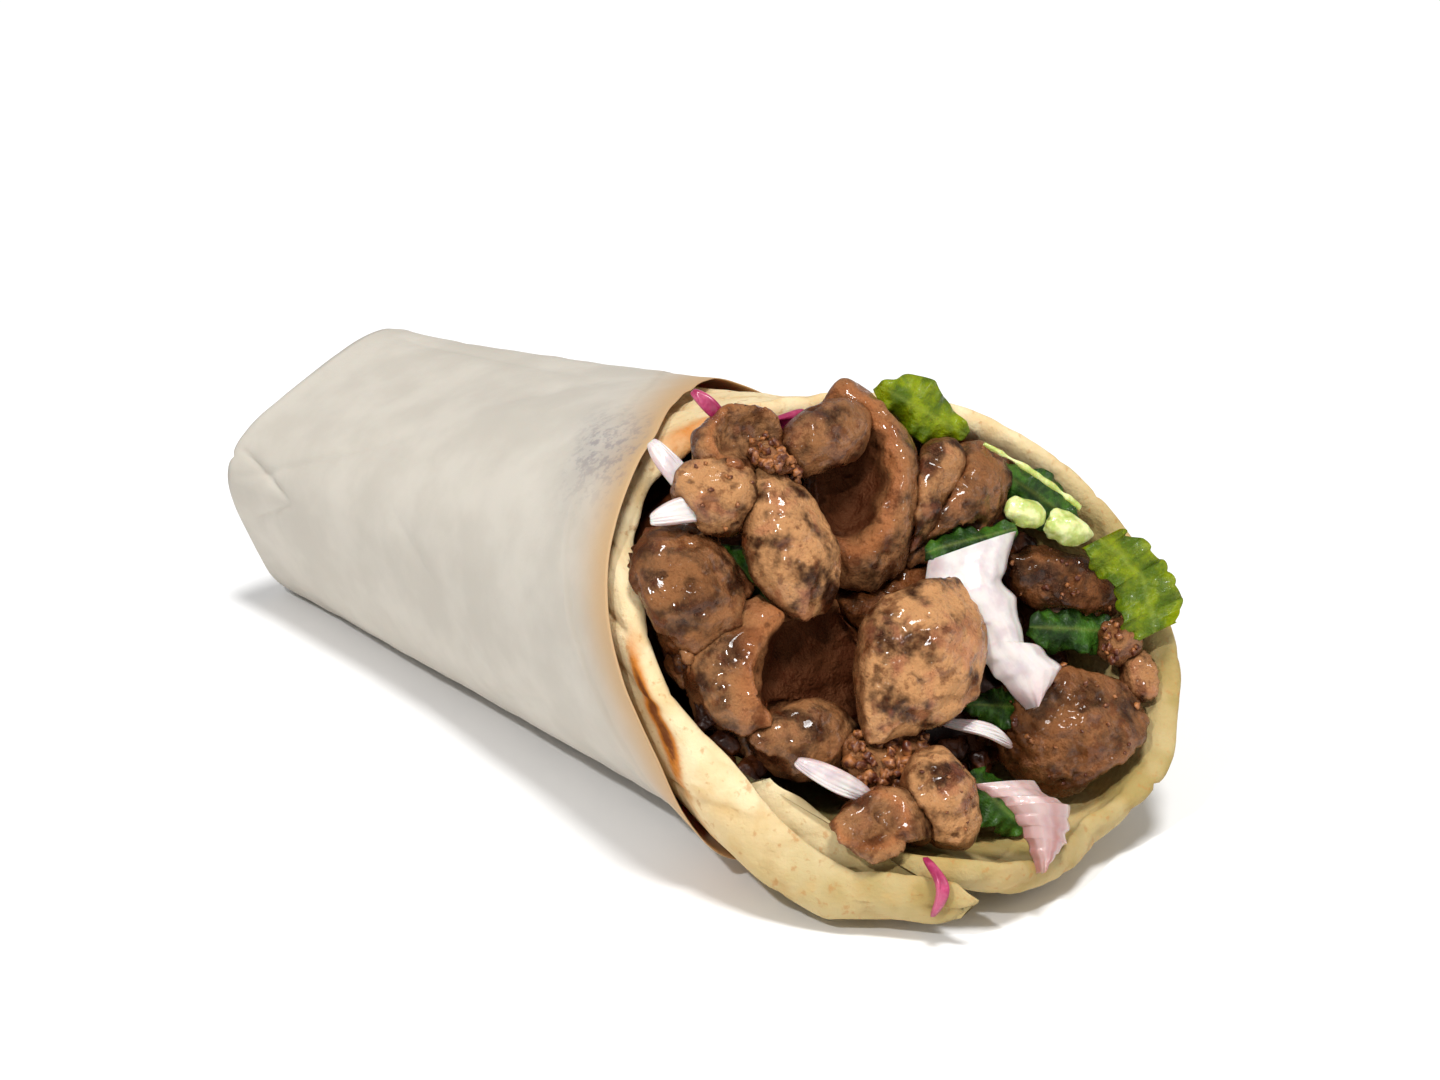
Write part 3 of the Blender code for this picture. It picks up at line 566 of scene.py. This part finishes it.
def rolled_flatbread(material, columns=300, outer_rows=70, nose_rows=9, inner_rows=46):
    """The rolled sheet: its outer face, a round lip and its inner face, lapping over its own start."""
    turned = np.linspace(LAP_START, LAP_END + math.tau, columns)[None, :]
    corner = ease((turned - LAP_END - math.tau + CORNER_ARC) / CORNER_ARC) * CORNER_REACH
    front = rim(turned) + (corner - 0.8 * MM) / ROLL_LENGTH
    pinch = ease((turned - LAP_START) / math.radians(10))
    pinch = pinch * ease((LAP_END + math.tau - turned) / math.radians(3))
    thick = BREAD_THICK * mix(0.25, 1, pinch)
    nose = thick / 2
    outer = np.linspace(0, 1, outer_rows)[:, None]
    bend = np.linspace(0, math.pi, nose_rows + 2)[1:-1, None]
    inner = np.linspace(0, 1, inner_rows)[:, None] ** 1.6
    last = front - nose / ROLL_LENGTH
    k = np.concatenate([mix(BREAD_BACK, last, 1 - (1 - outer) ** 1.6),
                        last + np.sin(bend) * nose / ROLL_LENGTH,
                        mix(last, BREAD_BACK, inner)])
    deep = np.concatenate([0 * outer + 0 * thick, (1 - np.cos(bend)) * nose, 0 * inner + thick])
    near_rim = np.maximum(0, 1 - (rim(turned) - k) * ROLL_LENGTH / LIP_DEPTH)
    lie = BREAD_INSET + (BREAD_THICK + LAYER_GAP) * (1 - ease((turned - LAP_END) / LAP_EASE))
    inset = lie + round_the_roll(LIP_TURN_IN, turned) * near_rim ** 2 + deep
    plain = skin(k, turned, inset)
    soft = 0.3 * MM * (cloud_at(plain, 7 * MM, 8) + 1)
    soft += 0.12 * MM * (cloud_at(plain, 2.4 * MM, 3) + 1)
    crease = np.exp(-np.abs(cloud_at(plain * (0.45, 1, 1), 9 * MM, 14)) / 0.045)
    soft += 0.7 * MM * crease
    inside = np.concatenate([0 * outer, 0.5 - 0.5 * np.cos(bend), 0 * inner + 1])
    inside = inside + 0 * turned
    inset = inset + soft * (1 - 1.6 * inside)
    behind = (front - k) * ROLL_LENGTH
    # painted shade: the tan mask darkens the bread's low and far sides
    masks = {"toast": toast_mask(turned, behind, inside), "tan": tan_mask(turned) + 0 * k,
             # painted shade: the crease mask darkens the bread in its creases
             "crease": crease * (1 - 0.6 * inside)}
    mesh = grid_mesh("bread", skin(k, turned, inset), masks=masks)
    close_up(mesh)
    stand_for(mesh, "flatbread", material)


# ---- livers

def soft_solid(node, voxel, rounds):
    """A fine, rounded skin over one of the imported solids."""
    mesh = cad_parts[node].data.copy()
    bm = bmesh.new()
    bm.from_mesh(mesh)
    bmesh.ops.remove_doubles(bm, verts=bm.verts, dist=0.001 * MM)
    bm.to_mesh(mesh)
    bm.free()
    return with_modifiers(mesh, ("REMESH", {"mode": "VOXEL", "voxel_size": voxel}),
                          ("SMOOTH", {"factor": 0.5, "iterations": rounds}))


# The hollowed livers, as in their solids: place in the mouth, size, turn and the hollow's middle
# and radius.
HOLLOWED = {
    "liver_curl": ((-15.2, 33, 3), (14, 11, 10), 2, (0.15, 0.1, 0.8)),
    "liver_arch_top": ((1.0, 22.3, 0.5), (29, 17, 15), -110, (-0.1, -0.42, 0.75)),
    "liver_low_round": ((-17.5, -23.2, 8), (15, 12, 10), -8, (-0.3, 0.3, 0.6)),
    "liver_arch_low": ((-19, 0.5, -0.5), (30, 25, 16), 5, (0.38, -0.1, 0.85))}
HOLLOW_DEPTH = {"liver_arch_low": 1.6 * MM, "liver_arch_top": 1.2 * MM}
SHALLOW = ("liver_curl", "liver_low_round")

# Livers drawn to a point at both ends: place in the mouth, size, turn and how much they narrow.
POINTED = {
    "liver_centre": ((-3, -3.5, 7), (27, 19, 13), 36, 0.42),
    "liver_teardrop": ((-13.8, 18.2, 4.5), (23, 12.5, 10), -91, 0.35),
    "liver_low_flat": ((-8, -22.7, 8.5), (16, 12, 10), -96, 0.3),
    "liver_flat": ((-20, 26.8, 3.5), (16, 11.5, 9), -33, 0.25),
    "liver_broad": ((14, 16, 0.5), (25, 13, 11), 26, 0.3)}


def in_liver(at, size, turn, points):
    """Points in a liver's own measure, where it reaches from -1 to 1, and the matrix back."""
    spin = Matrix.Rotation(math.radians(turn), 4, "Z")
    place = mouth_frame() @ Matrix.Translation(Vector(at) * MM) @ spin
    back = np.array(place.inverted())
    half = np.array(size) * MM / 2
    return (points @ back[:3, :3].T + back[:3, 3]) / half, np.array(place), half


def drawn_to_points(node, points):
    """The liver with its two ends narrowed."""
    at, size, turn, narrowing = POINTED[node]
    local, place, half = in_liver(at, size, turn, points)
    keep = 1 - narrowing * np.clip(np.abs(local[:, 0]), 0, 1) ** 1.8
    local = np.stack([local[:, 0], local[:, 1] * keep, local[:, 2] * keep], -1) * half
    return local @ place[:3, :3].T + place[:3, 3]


def hollow_and_rim(node, points):
    """How far each point is into a liver's hollow, and on the rim round it."""
    at, size, turn, (along, aside, radius) = HOLLOWED[node]
    local = in_liver(at, size, turn, points)[0]
    inside = 1 - ((local[:, 0] - along) ** 2 + (local[:, 1] - aside) ** 2) / radius ** 2
    inside += 0.22 * cloud_at(points, 3.5 * MM, 21)
    front = ease((local[:, 2] + 0.25) / 0.3)
    return ease(inside * 1.9) * front, np.exp(-((inside + 0.12) / 0.3) ** 2) * front


def cooked_liver(node, material, seed, pale, crag, voxel=0.42 * MM):
    """A fried liver: rounded and wrinkled, craggy in places, with paler rims and deep hollows. Its
    paler rims are partly painted light; its dark hollows and pits are partly, and its darker
    turned-away sides wholly, painted shade.
    """
    mesh = soft_solid(node, voxel, 20)
    points, normals = points_of(mesh), normals_of(mesh)
    out = np.array(mouth_frame().to_3x3() @ Vector((0, 0, 1)))
    # painted shade: side marks where the surface turns away from the mouth's front, to be darkened
    side = ease((0.62 - normals @ out + 0.25 * cloud_at(points, 3 * MM, seed + 6)) / 0.6)
    even = points_of(with_modifiers(mesh.copy(), ("SMOOTH", {"factor": 0.5, "iterations": 90})))
    proud = ((points - even) * normals).sum(1)
    # hollow marks dents and cupped hollows, later darkened: partly sauce, partly painted shade
    hollow = ease((-proud - 0.05 * MM) / (0.45 * MM))
    # rim marks raised ridges and hollow edges for their orange, partly painted light
    rim_share = 0.6 * ease((proud - 0.75 * MM) / (0.9 * MM))
    deep = 0
    if node in HOLLOWED:
        cup, edge = hollow_and_rim(node, points)
        hollow = np.maximum(hollow, cup * (0.3 if node in SHALLOW else 1))
        rim_share = np.maximum(rim_share, edge)
        deep = cup * HOLLOW_DEPTH.get(node, 0)
    crust = ease((cloud_at(points, 6 * MM, seed) + crag - 0.3) / 0.5)
    swell = 0.2 * MM + 0.3 * MM * cloud_at(points, 4.5 * MM, seed + 1)
    swell += (0.25 - np.abs(cloud_at(points, 8 * MM, seed + 7))) * 1.1 * MM
    wrinkle = (0.3 - np.abs(cloud_at(points, 2.8 * MM, seed + 2))) * 0.6 * MM
    grain = cloud_at(points, 1.3 * MM, seed + 5) * 0.16 * MM
    rubble = cloud_at(points, 1.2 * MM, seed + 3) * 0.7 * MM * crust
    # pit marks small dents, later filled dark: partly pore colour, partly painted shade
    pit = ease((cloud_at(points, 1.7 * MM, seed + 4) - 0.5) / 0.12)
    lift = np.minimum(swell + wrinkle + grain + rubble, 0.6 * MM)
    lift = lift - pit * 0.35 * MM - hollow * 0.3 * MM - deep
    cooked = points + normals * lift[:, None]
    if node in POINTED:
        cooked = drawn_to_points(node, cooked)
    move_points(mesh, cooked)
    for mask, values in (("pale", 0 * lift + pale), ("side", side), ("crag", crust * 0.8),
                         ("pit", pit * 0.6), ("hollow", hollow), ("rim", rim_share)):
        store(mesh, mask, values)
    stand_for(mesh, node, material)


# How pale each liver is, and how craggy.
LIVERS = {
    "liver_centre": (0.95, 0.15), "liver_teardrop": (0.9, 0.1), "liver_curl": (0.6, 0.2),
    "liver_flat": (0.85, 0.2), "liver_join_top": (0.4, 0.8), "liver_in_arch": (0.3, 0.2),
    "liver_arch_top": (0.35, 0.0), "liver_slim": (0.6, 0.15), "liver_broad": (0.25, 0.25),
    "liver_low_round": (0.55, 0.25), "liver_low_flat": (0.9, 0.15), "liver_join_low": (0.4, 0.8),
    "liver_in_low_arch": (0.35, 0.35), "liver_arch_low": (0.4, 0.0), "liver_chunk_left": (0.25, 0.35),
    "liver_sliver_left": (0.4, 0.35), "liver_chunk_right": (0.2, 0.5), "liver_flaps": (0.1, 0.45),
    "liver_pink": (0.75, 0.2), "liver_knot": (0.5, 0.7), "liver_ledge": (0.0, 0.3)}


def core_of_filling(material):
    mesh = soft_solid("filling_core", 0.9 * MM, 8)
    points, normals = points_of(mesh), normals_of(mesh)
    lift = 0.5 * MM * cloud_at(points, 4 * MM, 30) + 0.2 * MM * cloud_at(points, 1.6 * MM, 31)
    front = ease((points[:, 0] - 20 * MM) / (10 * MM))
    move_points(mesh, points + normals * (lift * front)[:, None])
    stand_for(mesh, "filling_core", material)


# ---- thin pieces in the mouth

def thin_piece(node, material, at, size, outline, height, turn, tilt, roll, thick,
               cells=(72, 26), masks=None):
    """A sheet set in the mouth as its solid is.

    at is (across, up, out) and size is (length, width), both in mm.
    """
    s = np.linspace(0, 1, cells[0] + 1)[:, None]
    t = np.linspace(-1, 1, cells[1] + 1)[None, :]
    low, high = outline(s)
    aside = t * np.where(t < 0, low, high) * size[1] / 2
    lie = height(s, t)
    points = np.stack([(s - 0.5) * size[0] + 0 * t, aside + 0 * s, lie + 0 * s * t], -1) * MM
    taper = mix(0.35, 1, ease((1 - np.abs(t)) * 5) * ease(s * 12) * ease((1 - s) * 12))
    values = {name: made(s, t) + 0 * s * t for name, made in (masks or {}).items()}
    spin = Matrix.Rotation(math.radians(turn), 4, "Z")
    lean = Matrix.Rotation(math.radians(tilt), 4, "Y")
    lean = lean @ Matrix.Rotation(math.radians(roll), 4, "X")
    place = mouth_frame() @ Matrix.Translation(Vector(at) * MM) @ spin @ lean
    finished_sheet(node, material, points, thick, taper, values, place)


def finished_sheet(node, material, centre, thick, taper, values, place):
    """A closed thin sheet round a grid of centre points."""
    half = thick * MM / 2 * taper
    above, below = centre.copy(), centre.copy()
    above[..., 2] += half
    below[..., 2] -= half
    doubled = {name: np.concatenate([value, value[:, ::-1]], 1) for name, value in values.items()}
    mesh = grid_mesh(node, np.concatenate([above, below[:, ::-1]], 1), closed=True, masks=doubled)
    close_up(mesh)
    mesh.transform(place)
    stand_for(mesh, node, material)


def close_up(mesh):
    """Fills a mesh's open ends and turns its faces out."""
    bm = bmesh.new()
    bm.from_mesh(mesh)
    bmesh.ops.holes_fill(bm, edges=[edge for edge in bm.edges if edge.is_boundary], sides=0)
    bmesh.ops.recalc_face_normals(bm, faces=bm.faces)
    bm.to_mesh(mesh)
    bm.free()


def edge_points(edge, s):
    """Points along an outline of (across, up) pairs, for s from 0 to 1."""
    edge = np.array(edge, float)
    run = np.concatenate([[0], np.cumsum(np.hypot(*np.diff(edge, axis=0).T))])
    near = np.clip(s[:, None] + np.linspace(-0.035, 0.035, 9), 0, 1)
    rounded = np.stack([np.interp(near * run[-1], run, edge[:, i]).mean(1) for i in range(2)], -1)
    uneven = np.stack([np.sin(41 * s + edge[0, 0]), np.sin(57 * s)], -1)
    return rounded + 0.22 * uneven * np.sin(math.pi * s)[:, None]


def torn_sheet(node, material, left, right, out, height, masks, thick=0.9,
               cells=(110, 30), lobes=0):
    """A torn sheet between two edges, given as (across, up) points in the mouth, in mm.

    out is how far it stands out of the mouth, in mm, and height(s, t) is added to that. lobes is
    how far round lobes stand out from its right edge.
    """
    s = np.linspace(0, 1, cells[0] + 1)[:, None]
    t = np.linspace(-1, 1, cells[1] + 1)[None, :]
    share = ((t + 1) / 2)[..., None]
    left_side, right_side = (edge_points(edge, s[:, 0])[:, None] for edge in (left, right))
    flat = mix(left_side, right_side, share)
    lobe = 0.5 + 0.5 * np.sin(math.tau * (4.2 * s + 0.3 * np.sin(5 * s)))
    flat[..., 0] += lobes * share[..., 0] ** 2 * lobe
    centre = np.concatenate([flat, (out + height(s, t))[..., None]], -1) * MM
    taper = mix(0.3, 1, ease((1 - np.abs(t)) * 5) * ease(s * 14) * ease((1 - s) * 14))
    values = {name: made(s, t) + 0 * s * t for name, made in masks.items()}
    finished_sheet(node, material, centre, thick, taper, values, mouth_frame())


def ragged(seed):
    """A ragged leaf, with no two of its lobes alike."""
    def outline(s):
        half = 0.2 + 0.74 * np.sin(math.pi * np.clip(s, 0, 1)) ** 0.8
        low = 1 + 0.2 * np.sin(9 * s + seed) + 0.05 * np.sin(23 * s + 2 * seed)
        high = 1 + 0.2 * np.sin(8 * s + 3 * seed) + 0.05 * np.sin(27 * s + seed)
        return half * low, half * high
    return outline


def crescent(bow):
    """A narrow strip with tapered ends, bowed to one side."""
    def outline(s):
        rise = np.sin(math.pi * np.clip(s, 0, 1))
        half = 0.3 + 0.7 * rise ** 0.6
        return half - bow * rise, half + bow * rise
    return outline


def ruffle(amount, waves, cup, fine):
    """Waves along both edges on a cupped middle, with finer ones on them."""
    def height(s, t):
        phase = np.where(t > 0, 1.3, 0.0)
        wave = np.sin(waves * math.tau * s + phase)
        wave = wave + fine * np.sin(waves * 3.1 * math.tau * s + 2 * phase)
        lean = 0.25 * amount * np.sin(5.3 * s + 2.1 * t)
        return amount * t * t * wave + cup * (t * t - 0.5) + lean
    return height


def arched(rise, sink=0.0):
    """A bow along the piece, with both its ends sunk by this much."""
    return lambda s, t: rise * np.sin(math.pi * s) - sink + 0.15 * np.sin(9 * s + 3 * t)


def leaf_veins(s, t):
    midrib = np.exp(-(t / 0.09) ** 2)
    bent = s - 0.35 * np.abs(t) + 0.05 * np.sin(7 * s + 3 * t)
    across = np.sin(4 * bent * math.pi + 1.5 * np.sin(4 * t))
    side = np.exp(-(across / 0.16) ** 2) * 0.25 * (1 - np.abs(t))
    return np.clip(midrib + side, 0, 1)


def onion_ribs(s, t):
    """Fine ribs that run along an onion's flesh."""
    return 0.5 + 0.5 * np.sin(15 * t + 2 * np.sin(4 * s) + 1.5 * t * s)


def onion_blush(s, t):
    return 0.4 * ease((np.abs(t) - 0.7) / 0.3) + 0.45 * ease((s - 0.72) / 0.28)


# The two torn petals' edges in the mouth, as (across, up) in mm, from top to bottom.
PETAL_LEFT = ((5.4, 9.5), (3.5, 7.0), (4.0, 1.7), (6.5, -2.0), (6.5, -6.4), (8.5, -10.5), (10.7, -15.0))
PETAL_RIGHT = ((19.7, 9.4), (15.7, 4.8), (13.8, 3.1), (15.3, 0.7), (14.4, -3.8), (13.6, -6.6),
               (16.5, -7.0), (16.1, -8.6), (18.5, -10.6), (14.9, -13.0), (10.9, -15.2))
LOW_PETAL_LEFT = ((-3.0, -21.5), (-0.6, -25.3), (0.1, -28.4), (0.3, -32.7), (0.2, -36.0))
LOW_PETAL_RIGHT = ((5.8, -24.0), (6.2, -26.5), (8.6, -29.0), (7.6, -31.0), (6.0, -33.5),
                   (1.8, -35.4), (0.4, -36.2))

# The lettuce frill's edges, in the same way.
FRILL_LEFT = ((29.2, 4.0), (29.5, 1.4), (32.0, -4.0), (30.4, -8.7), (32.6, -11.4))
FRILL_RIGHT = ((32.7, 4.6), (36.4, 2.4), (37.4, -0.4), (38.8, -2.4), (39.0, -5.0), (39.4, -7.8),
               (36.4, -10.8))
FRILL_ROOT = 3.4  # how far the frill's left side goes in between its neighbours, in mm


def petal_bow(bow, tuck):
    """A petal's cupped height, its top tucked back."""
    def height(s, t):
        return bow * (0.5 - t * t) + 0.35 * np.sin(6 * s + 2 * t) - tuck * (1 - ease(s / 0.35))
    return height


def low_petal_blush(s, t):
    return 0.6 + 0.4 * s + 0.15 * np.sin(5 * t)


def add_onions():
    onion = raw_onion()
    blush = {"blush": onion_blush, "ribs": onion_ribs}
    torn_sheet("onion_petal", onion, PETAL_LEFT, PETAL_RIGHT, 8, petal_bow(3.0, 1.5),
               blush)
    torn_sheet("onion_petal_low", onion, LOW_PETAL_LEFT, LOW_PETAL_RIGHT, 13.5,
               petal_bow(2.0, 2.5), {"blush": low_petal_blush, "ribs": onion_ribs})
    thin_piece("onion_sliver", onion, (-21.3, -14.6, 8), (12, 3.2), crescent(0.3),
               arched(1.4), -44, 0, 30, 1.1, masks=blush)
    thin_piece("onion_strip_top", onion, (-25, 32.5, 1.5), (10, 3.4), crescent(-0.4),
               arched(1.6), -70, 0, 0, 1.2, masks=blush)
    thin_piece("onion_strip_left", onion, (-26.5, 26, 2.5), (9.5, 3.6), crescent(0.35),
               arched(1.3), -11, 0, 0, 1.2, masks=blush)
    thin_piece("onion_thread", onion, (3.2, -15.6, 4.2), (11, 2.1), crescent(0.2),
               arched(2.7), -36, 0, 0, 0.8, masks=blush)


# Where each leaf lies in the mouth: place, size, turn, tilt and roll.
LEAVES = {
    "lettuce_top": ((14.2, 29.8, 1.5), (15, 8), -46, 0, 25),
    "leaf_middle": ((12.5, 9.8, 4.5), (15, 6), -3, 0, -20),
    "leaf_by_stem": ((26, 13.6, 1.5), (16, 8), -50, 0, 8),
    "leaf_left": ((-19.5, 16.2, -0.5), (11, 6.5), -60, 0, 20),
    "leaf_right": ((25.5, -6.5, -0.5), (14, 8), -20, 0, 0),
    "leaf_low_middle": ((9, -13, 1.5), (10, 6), -20, 0, 0),
    "leaf_low": ((4.5, -25.5, -0.5), (11.5, 8.8), -60, 0, 0)}
BRIGHT_LEAVES = ("lettuce_top",)


def add_greens():
    bright = salad_leaf("bright_leaf", paint(74, 96, 2), paint(128, 142, 3))
    dark = salad_leaf("dark_leaf", paint(24, 50, 10), paint(62, 102, 26))
    veins = {"vein": leaf_veins}
    frill = ruffle(0.9, 3.1, 0.8, 0.25)
    torn_sheet("lettuce_frill", bright, FRILL_LEFT, FRILL_RIGHT, 7,
               lambda s, t: frill(s, t) - FRILL_ROOT * ((1 - t) / 2) ** 2, veins,
               thick=0.6, cells=(150, 44), lobes=1.1)
    for node, (at, size, turn, tilt, roll) in LEAVES.items():
        material = bright if node in BRIGHT_LEAVES else dark
        thin_piece(node, material, at, size, ragged(at[0]), ruffle(1.0, 2.1, -1.0, 0.5),
                   turn, tilt, roll, 0.5, masks=veins)
    rib = pale_rib()
    for node in ("stalk_upper", "stalk_middle", "parsley_stem"):
        fine = 0.18 * MM if node == "parsley_stem" else 0.3 * MM
        mesh = soft_solid(node, fine, 5)
        points, normals = points_of(mesh), normals_of(mesh)
        ridges = 0.1 * MM * cloud_at(points, 1.2 * MM, 12)
        ridges = ridges - 0.55 * MM * np.abs(cloud_at(points, 2.4 * MM, 13))
        move_points(mesh, points + normals * ridges[:, None])
        stand_for(mesh, node, rib)


def add_cabbage():
    cabbage = red_cabbage()
    thin_piece("cabbage_top", cabbage, (-16.5, 39.3, 1), (6.5, 2.2), crescent(0.3),
               arched(0.9), -62, 0, 30, 1.1, cells=(40, 14))
    thin_piece("pickle_strip", cabbage, (-9, 35.4, 0), (13, 2.4), crescent(-0.4),
               arched(1.1), -6, 0, 35, 1.1, cells=(50, 14))
    thin_piece("cabbage_low", cabbage, (-15.9, -32.6, 15.6), (8, 1.8), crescent(0.35),
               arched(3.3, 2.8), -100, 8, 0, 1.1, cells=(40, 14))


# ---- crumbs

# Where fried crumbs gather: the solid they lie on, how many and their size in mm.
CRUMBS = (("liver_join_top", 60, 1.5), ("liver_join_low", 70, 1.7), ("liver_knot", 26, 1.2),
          ("liver_flat", 10, 0.8), ("liver_low_flat", 10, 0.7), ("liver_chunk_right", 26, 0.9),
          ("liver_flaps", 20, 0.9))
SHREDS_REACH = (33, 27)  # how far the loose shreds lie across and up, in mm


def fried_crumbs(material, seed=11):
    """Crumbs of crust stuck to the livers, sunk a little into them."""
    draw = random.Random(seed)
    out = (mouth_frame().to_3x3() @ Vector((0, 0, 1))).normalized()
    bm = bmesh.new()
    for node, count, size in CRUMBS:
        piece = bpy.data.objects[node + "_dressed"].data
        facing = [v for v in piece.vertices if v.normal.dot(out) > 0.5]
        for _ in range(count):
            spot = draw.choice(facing)
            radius = size * draw.uniform(0.45, 1.0) * MM / 2
            made = bmesh.ops.create_icosphere(bm, subdivisions=2, radius=radius)["verts"]
            shift = Vector([draw.uniform(0, 50) for _ in range(3)])
            squash = Vector([draw.uniform(0.7, 1.3) for _ in range(3)])
            for vertex in made:
                lump = 1 + 0.9 * noise.noise(vertex.co / radius * 1.7 + shift)
                shaped = Vector(a * b for a, b in zip(vertex.co * lump, squash))
                vertex.co = shaped + spot.co + spot.normal * radius * 0.3
    mesh = bpy.data.meshes.new("crumbs")
    bm.to_mesh(mesh)
    bm.free()
    stand_for(mesh, "liver_join_low", material, "_crumbs")


def gap_shreds(material, count=150, seed=5):
    """Chopped liver lying loose behind the pieces, so that the gaps between them are filled."""
    draw = random.Random(seed)
    place = mouth_frame()
    bm = bmesh.new()
    for number in range(count):
        angle, reach = draw.uniform(0, math.tau), math.sqrt(draw.random()) * 0.84
        across = reach * math.cos(angle) * SHREDS_REACH[0]
        up = reach * math.sin(angle) * SHREDS_REACH[1]
        at = Vector((across, up, draw.uniform(-7, -3.5))) * MM
        if number % 5 == 0:
            at = Vector((draw.uniform(-32.5, -27), draw.uniform(-10, 24), draw.uniform(-5, -1))) * MM
        half = Vector((draw.uniform(1.4, 3.4), draw.uniform(1.0, 1.9), draw.uniform(0.9, 1.6))) * MM
        turn = Matrix.Rotation(draw.uniform(0, math.tau), 3, "Z")
        turn = turn @ Matrix.Rotation(draw.uniform(-0.5, 0.5), 3, "X")
        shift = Vector([draw.uniform(0, 50) for _ in range(3)])
        for vertex in bmesh.ops.create_icosphere(bm, subdivisions=3, radius=1)["verts"]:
            lump = 1 + 0.5 * noise.noise(vertex.co * 1.5 + shift)
            vertex.co = place @ (at + turn @ Vector(a * b * lump for a, b in zip(vertex.co, half)))
    mesh = bpy.data.meshes.new("shreds")
    bm.to_mesh(mesh)
    bm.free()
    stand_for(mesh, "filling_core", material, "_shreds")


# ---- camera, floor and light

def add_camera():
    """Looks down on the mouth from the near side."""
    data = bpy.data.cameras.new("camera")
    data.lens = 85
    data.sensor_width = 36
    camera = bpy.data.objects.new("camera", data)
    camera.location = (366.3 * MM, -306.7 * MM, 214.2 * MM)
    camera.rotation_euler = (math.radians(69), 0, math.radians(49))
    bpy.context.scene.collection.objects.link(camera)
    bpy.context.scene.camera = camera


def add_floor():
    floor_finish = Finish("pale_floor", Base_Color=(0.93, 0.93, 0.93, 1), Roughness=0.9)
    mesh = bpy.data.meshes.new("floor")
    mesh.from_pydata([(-3, -3, 0), (3, -3, 0), (3, 3, 0), (-3, 3, 0)], [], [(0, 1, 2, 3)])
    mesh.materials.append(floor_finish.material)
    floor = bpy.data.objects.new("floor", mesh)
    bpy.context.scene.collection.objects.link(floor)


def add_light(name, place, aim, size, watts):
    data = bpy.data.lights.new(name, "AREA")
    data.size = size
    data.energy = watts
    light = bpy.data.objects.new(name, data)
    light.location = place
    light.rotation_euler = (Vector(aim) - Vector(place)).to_track_quat("-Z", "Y").to_euler()
    bpy.context.scene.collection.objects.link(light)


def add_sun(spread, strength):
    """A wide, far light that reaches the whole floor evenly."""
    data = bpy.data.lights.new("sun", "SUN")
    data.angle = spread
    data.energy = strength
    light = bpy.data.objects.new("sun", data)
    light.rotation_euler = Vector((0.3, -0.15, 1)).to_track_quat("Z", "Y").to_euler()
    bpy.context.scene.collection.objects.link(light)


def add_studio():
    world = bpy.data.worlds.new("studio")
    world.use_nodes = True
    sky = world.node_tree.nodes["Background"]
    sky.inputs["Color"].default_value = (1, 1, 1, 1)
    sky.inputs["Strength"].default_value = 0.35
    bpy.context.scene.world = world
    bpy.context.scene.view_settings.view_transform = "Standard"
    middle = (0.01, 0, 0.03)
    add_sun(math.radians(13), 2.4)
    add_light("side", (0.7, 0.45, 0.45), middle, 0.4, 0.8)
    add_light("sparkle", (0.3, -0.6, 0.6), middle, 0.03, 3)


def main():
    paper = greaseproof_paper()
    paper_sleeve(paper)
    paper_lap(paper)
    rolled_flatbread(baked_flatbread())
    filling = packed_filling()
    core_of_filling(filling)
    gap_shreds(filling)
    liver = fried_liver()
    for seed, (node, (pale, crag)) in enumerate(LIVERS.items()):
        cooked_liver(node, liver, seed + 1, pale, crag)
    add_onions()
    add_greens()
    add_cabbage()
    fried_crumbs(fried_crumb())
    add_floor()
    add_studio()
    add_camera()


main()
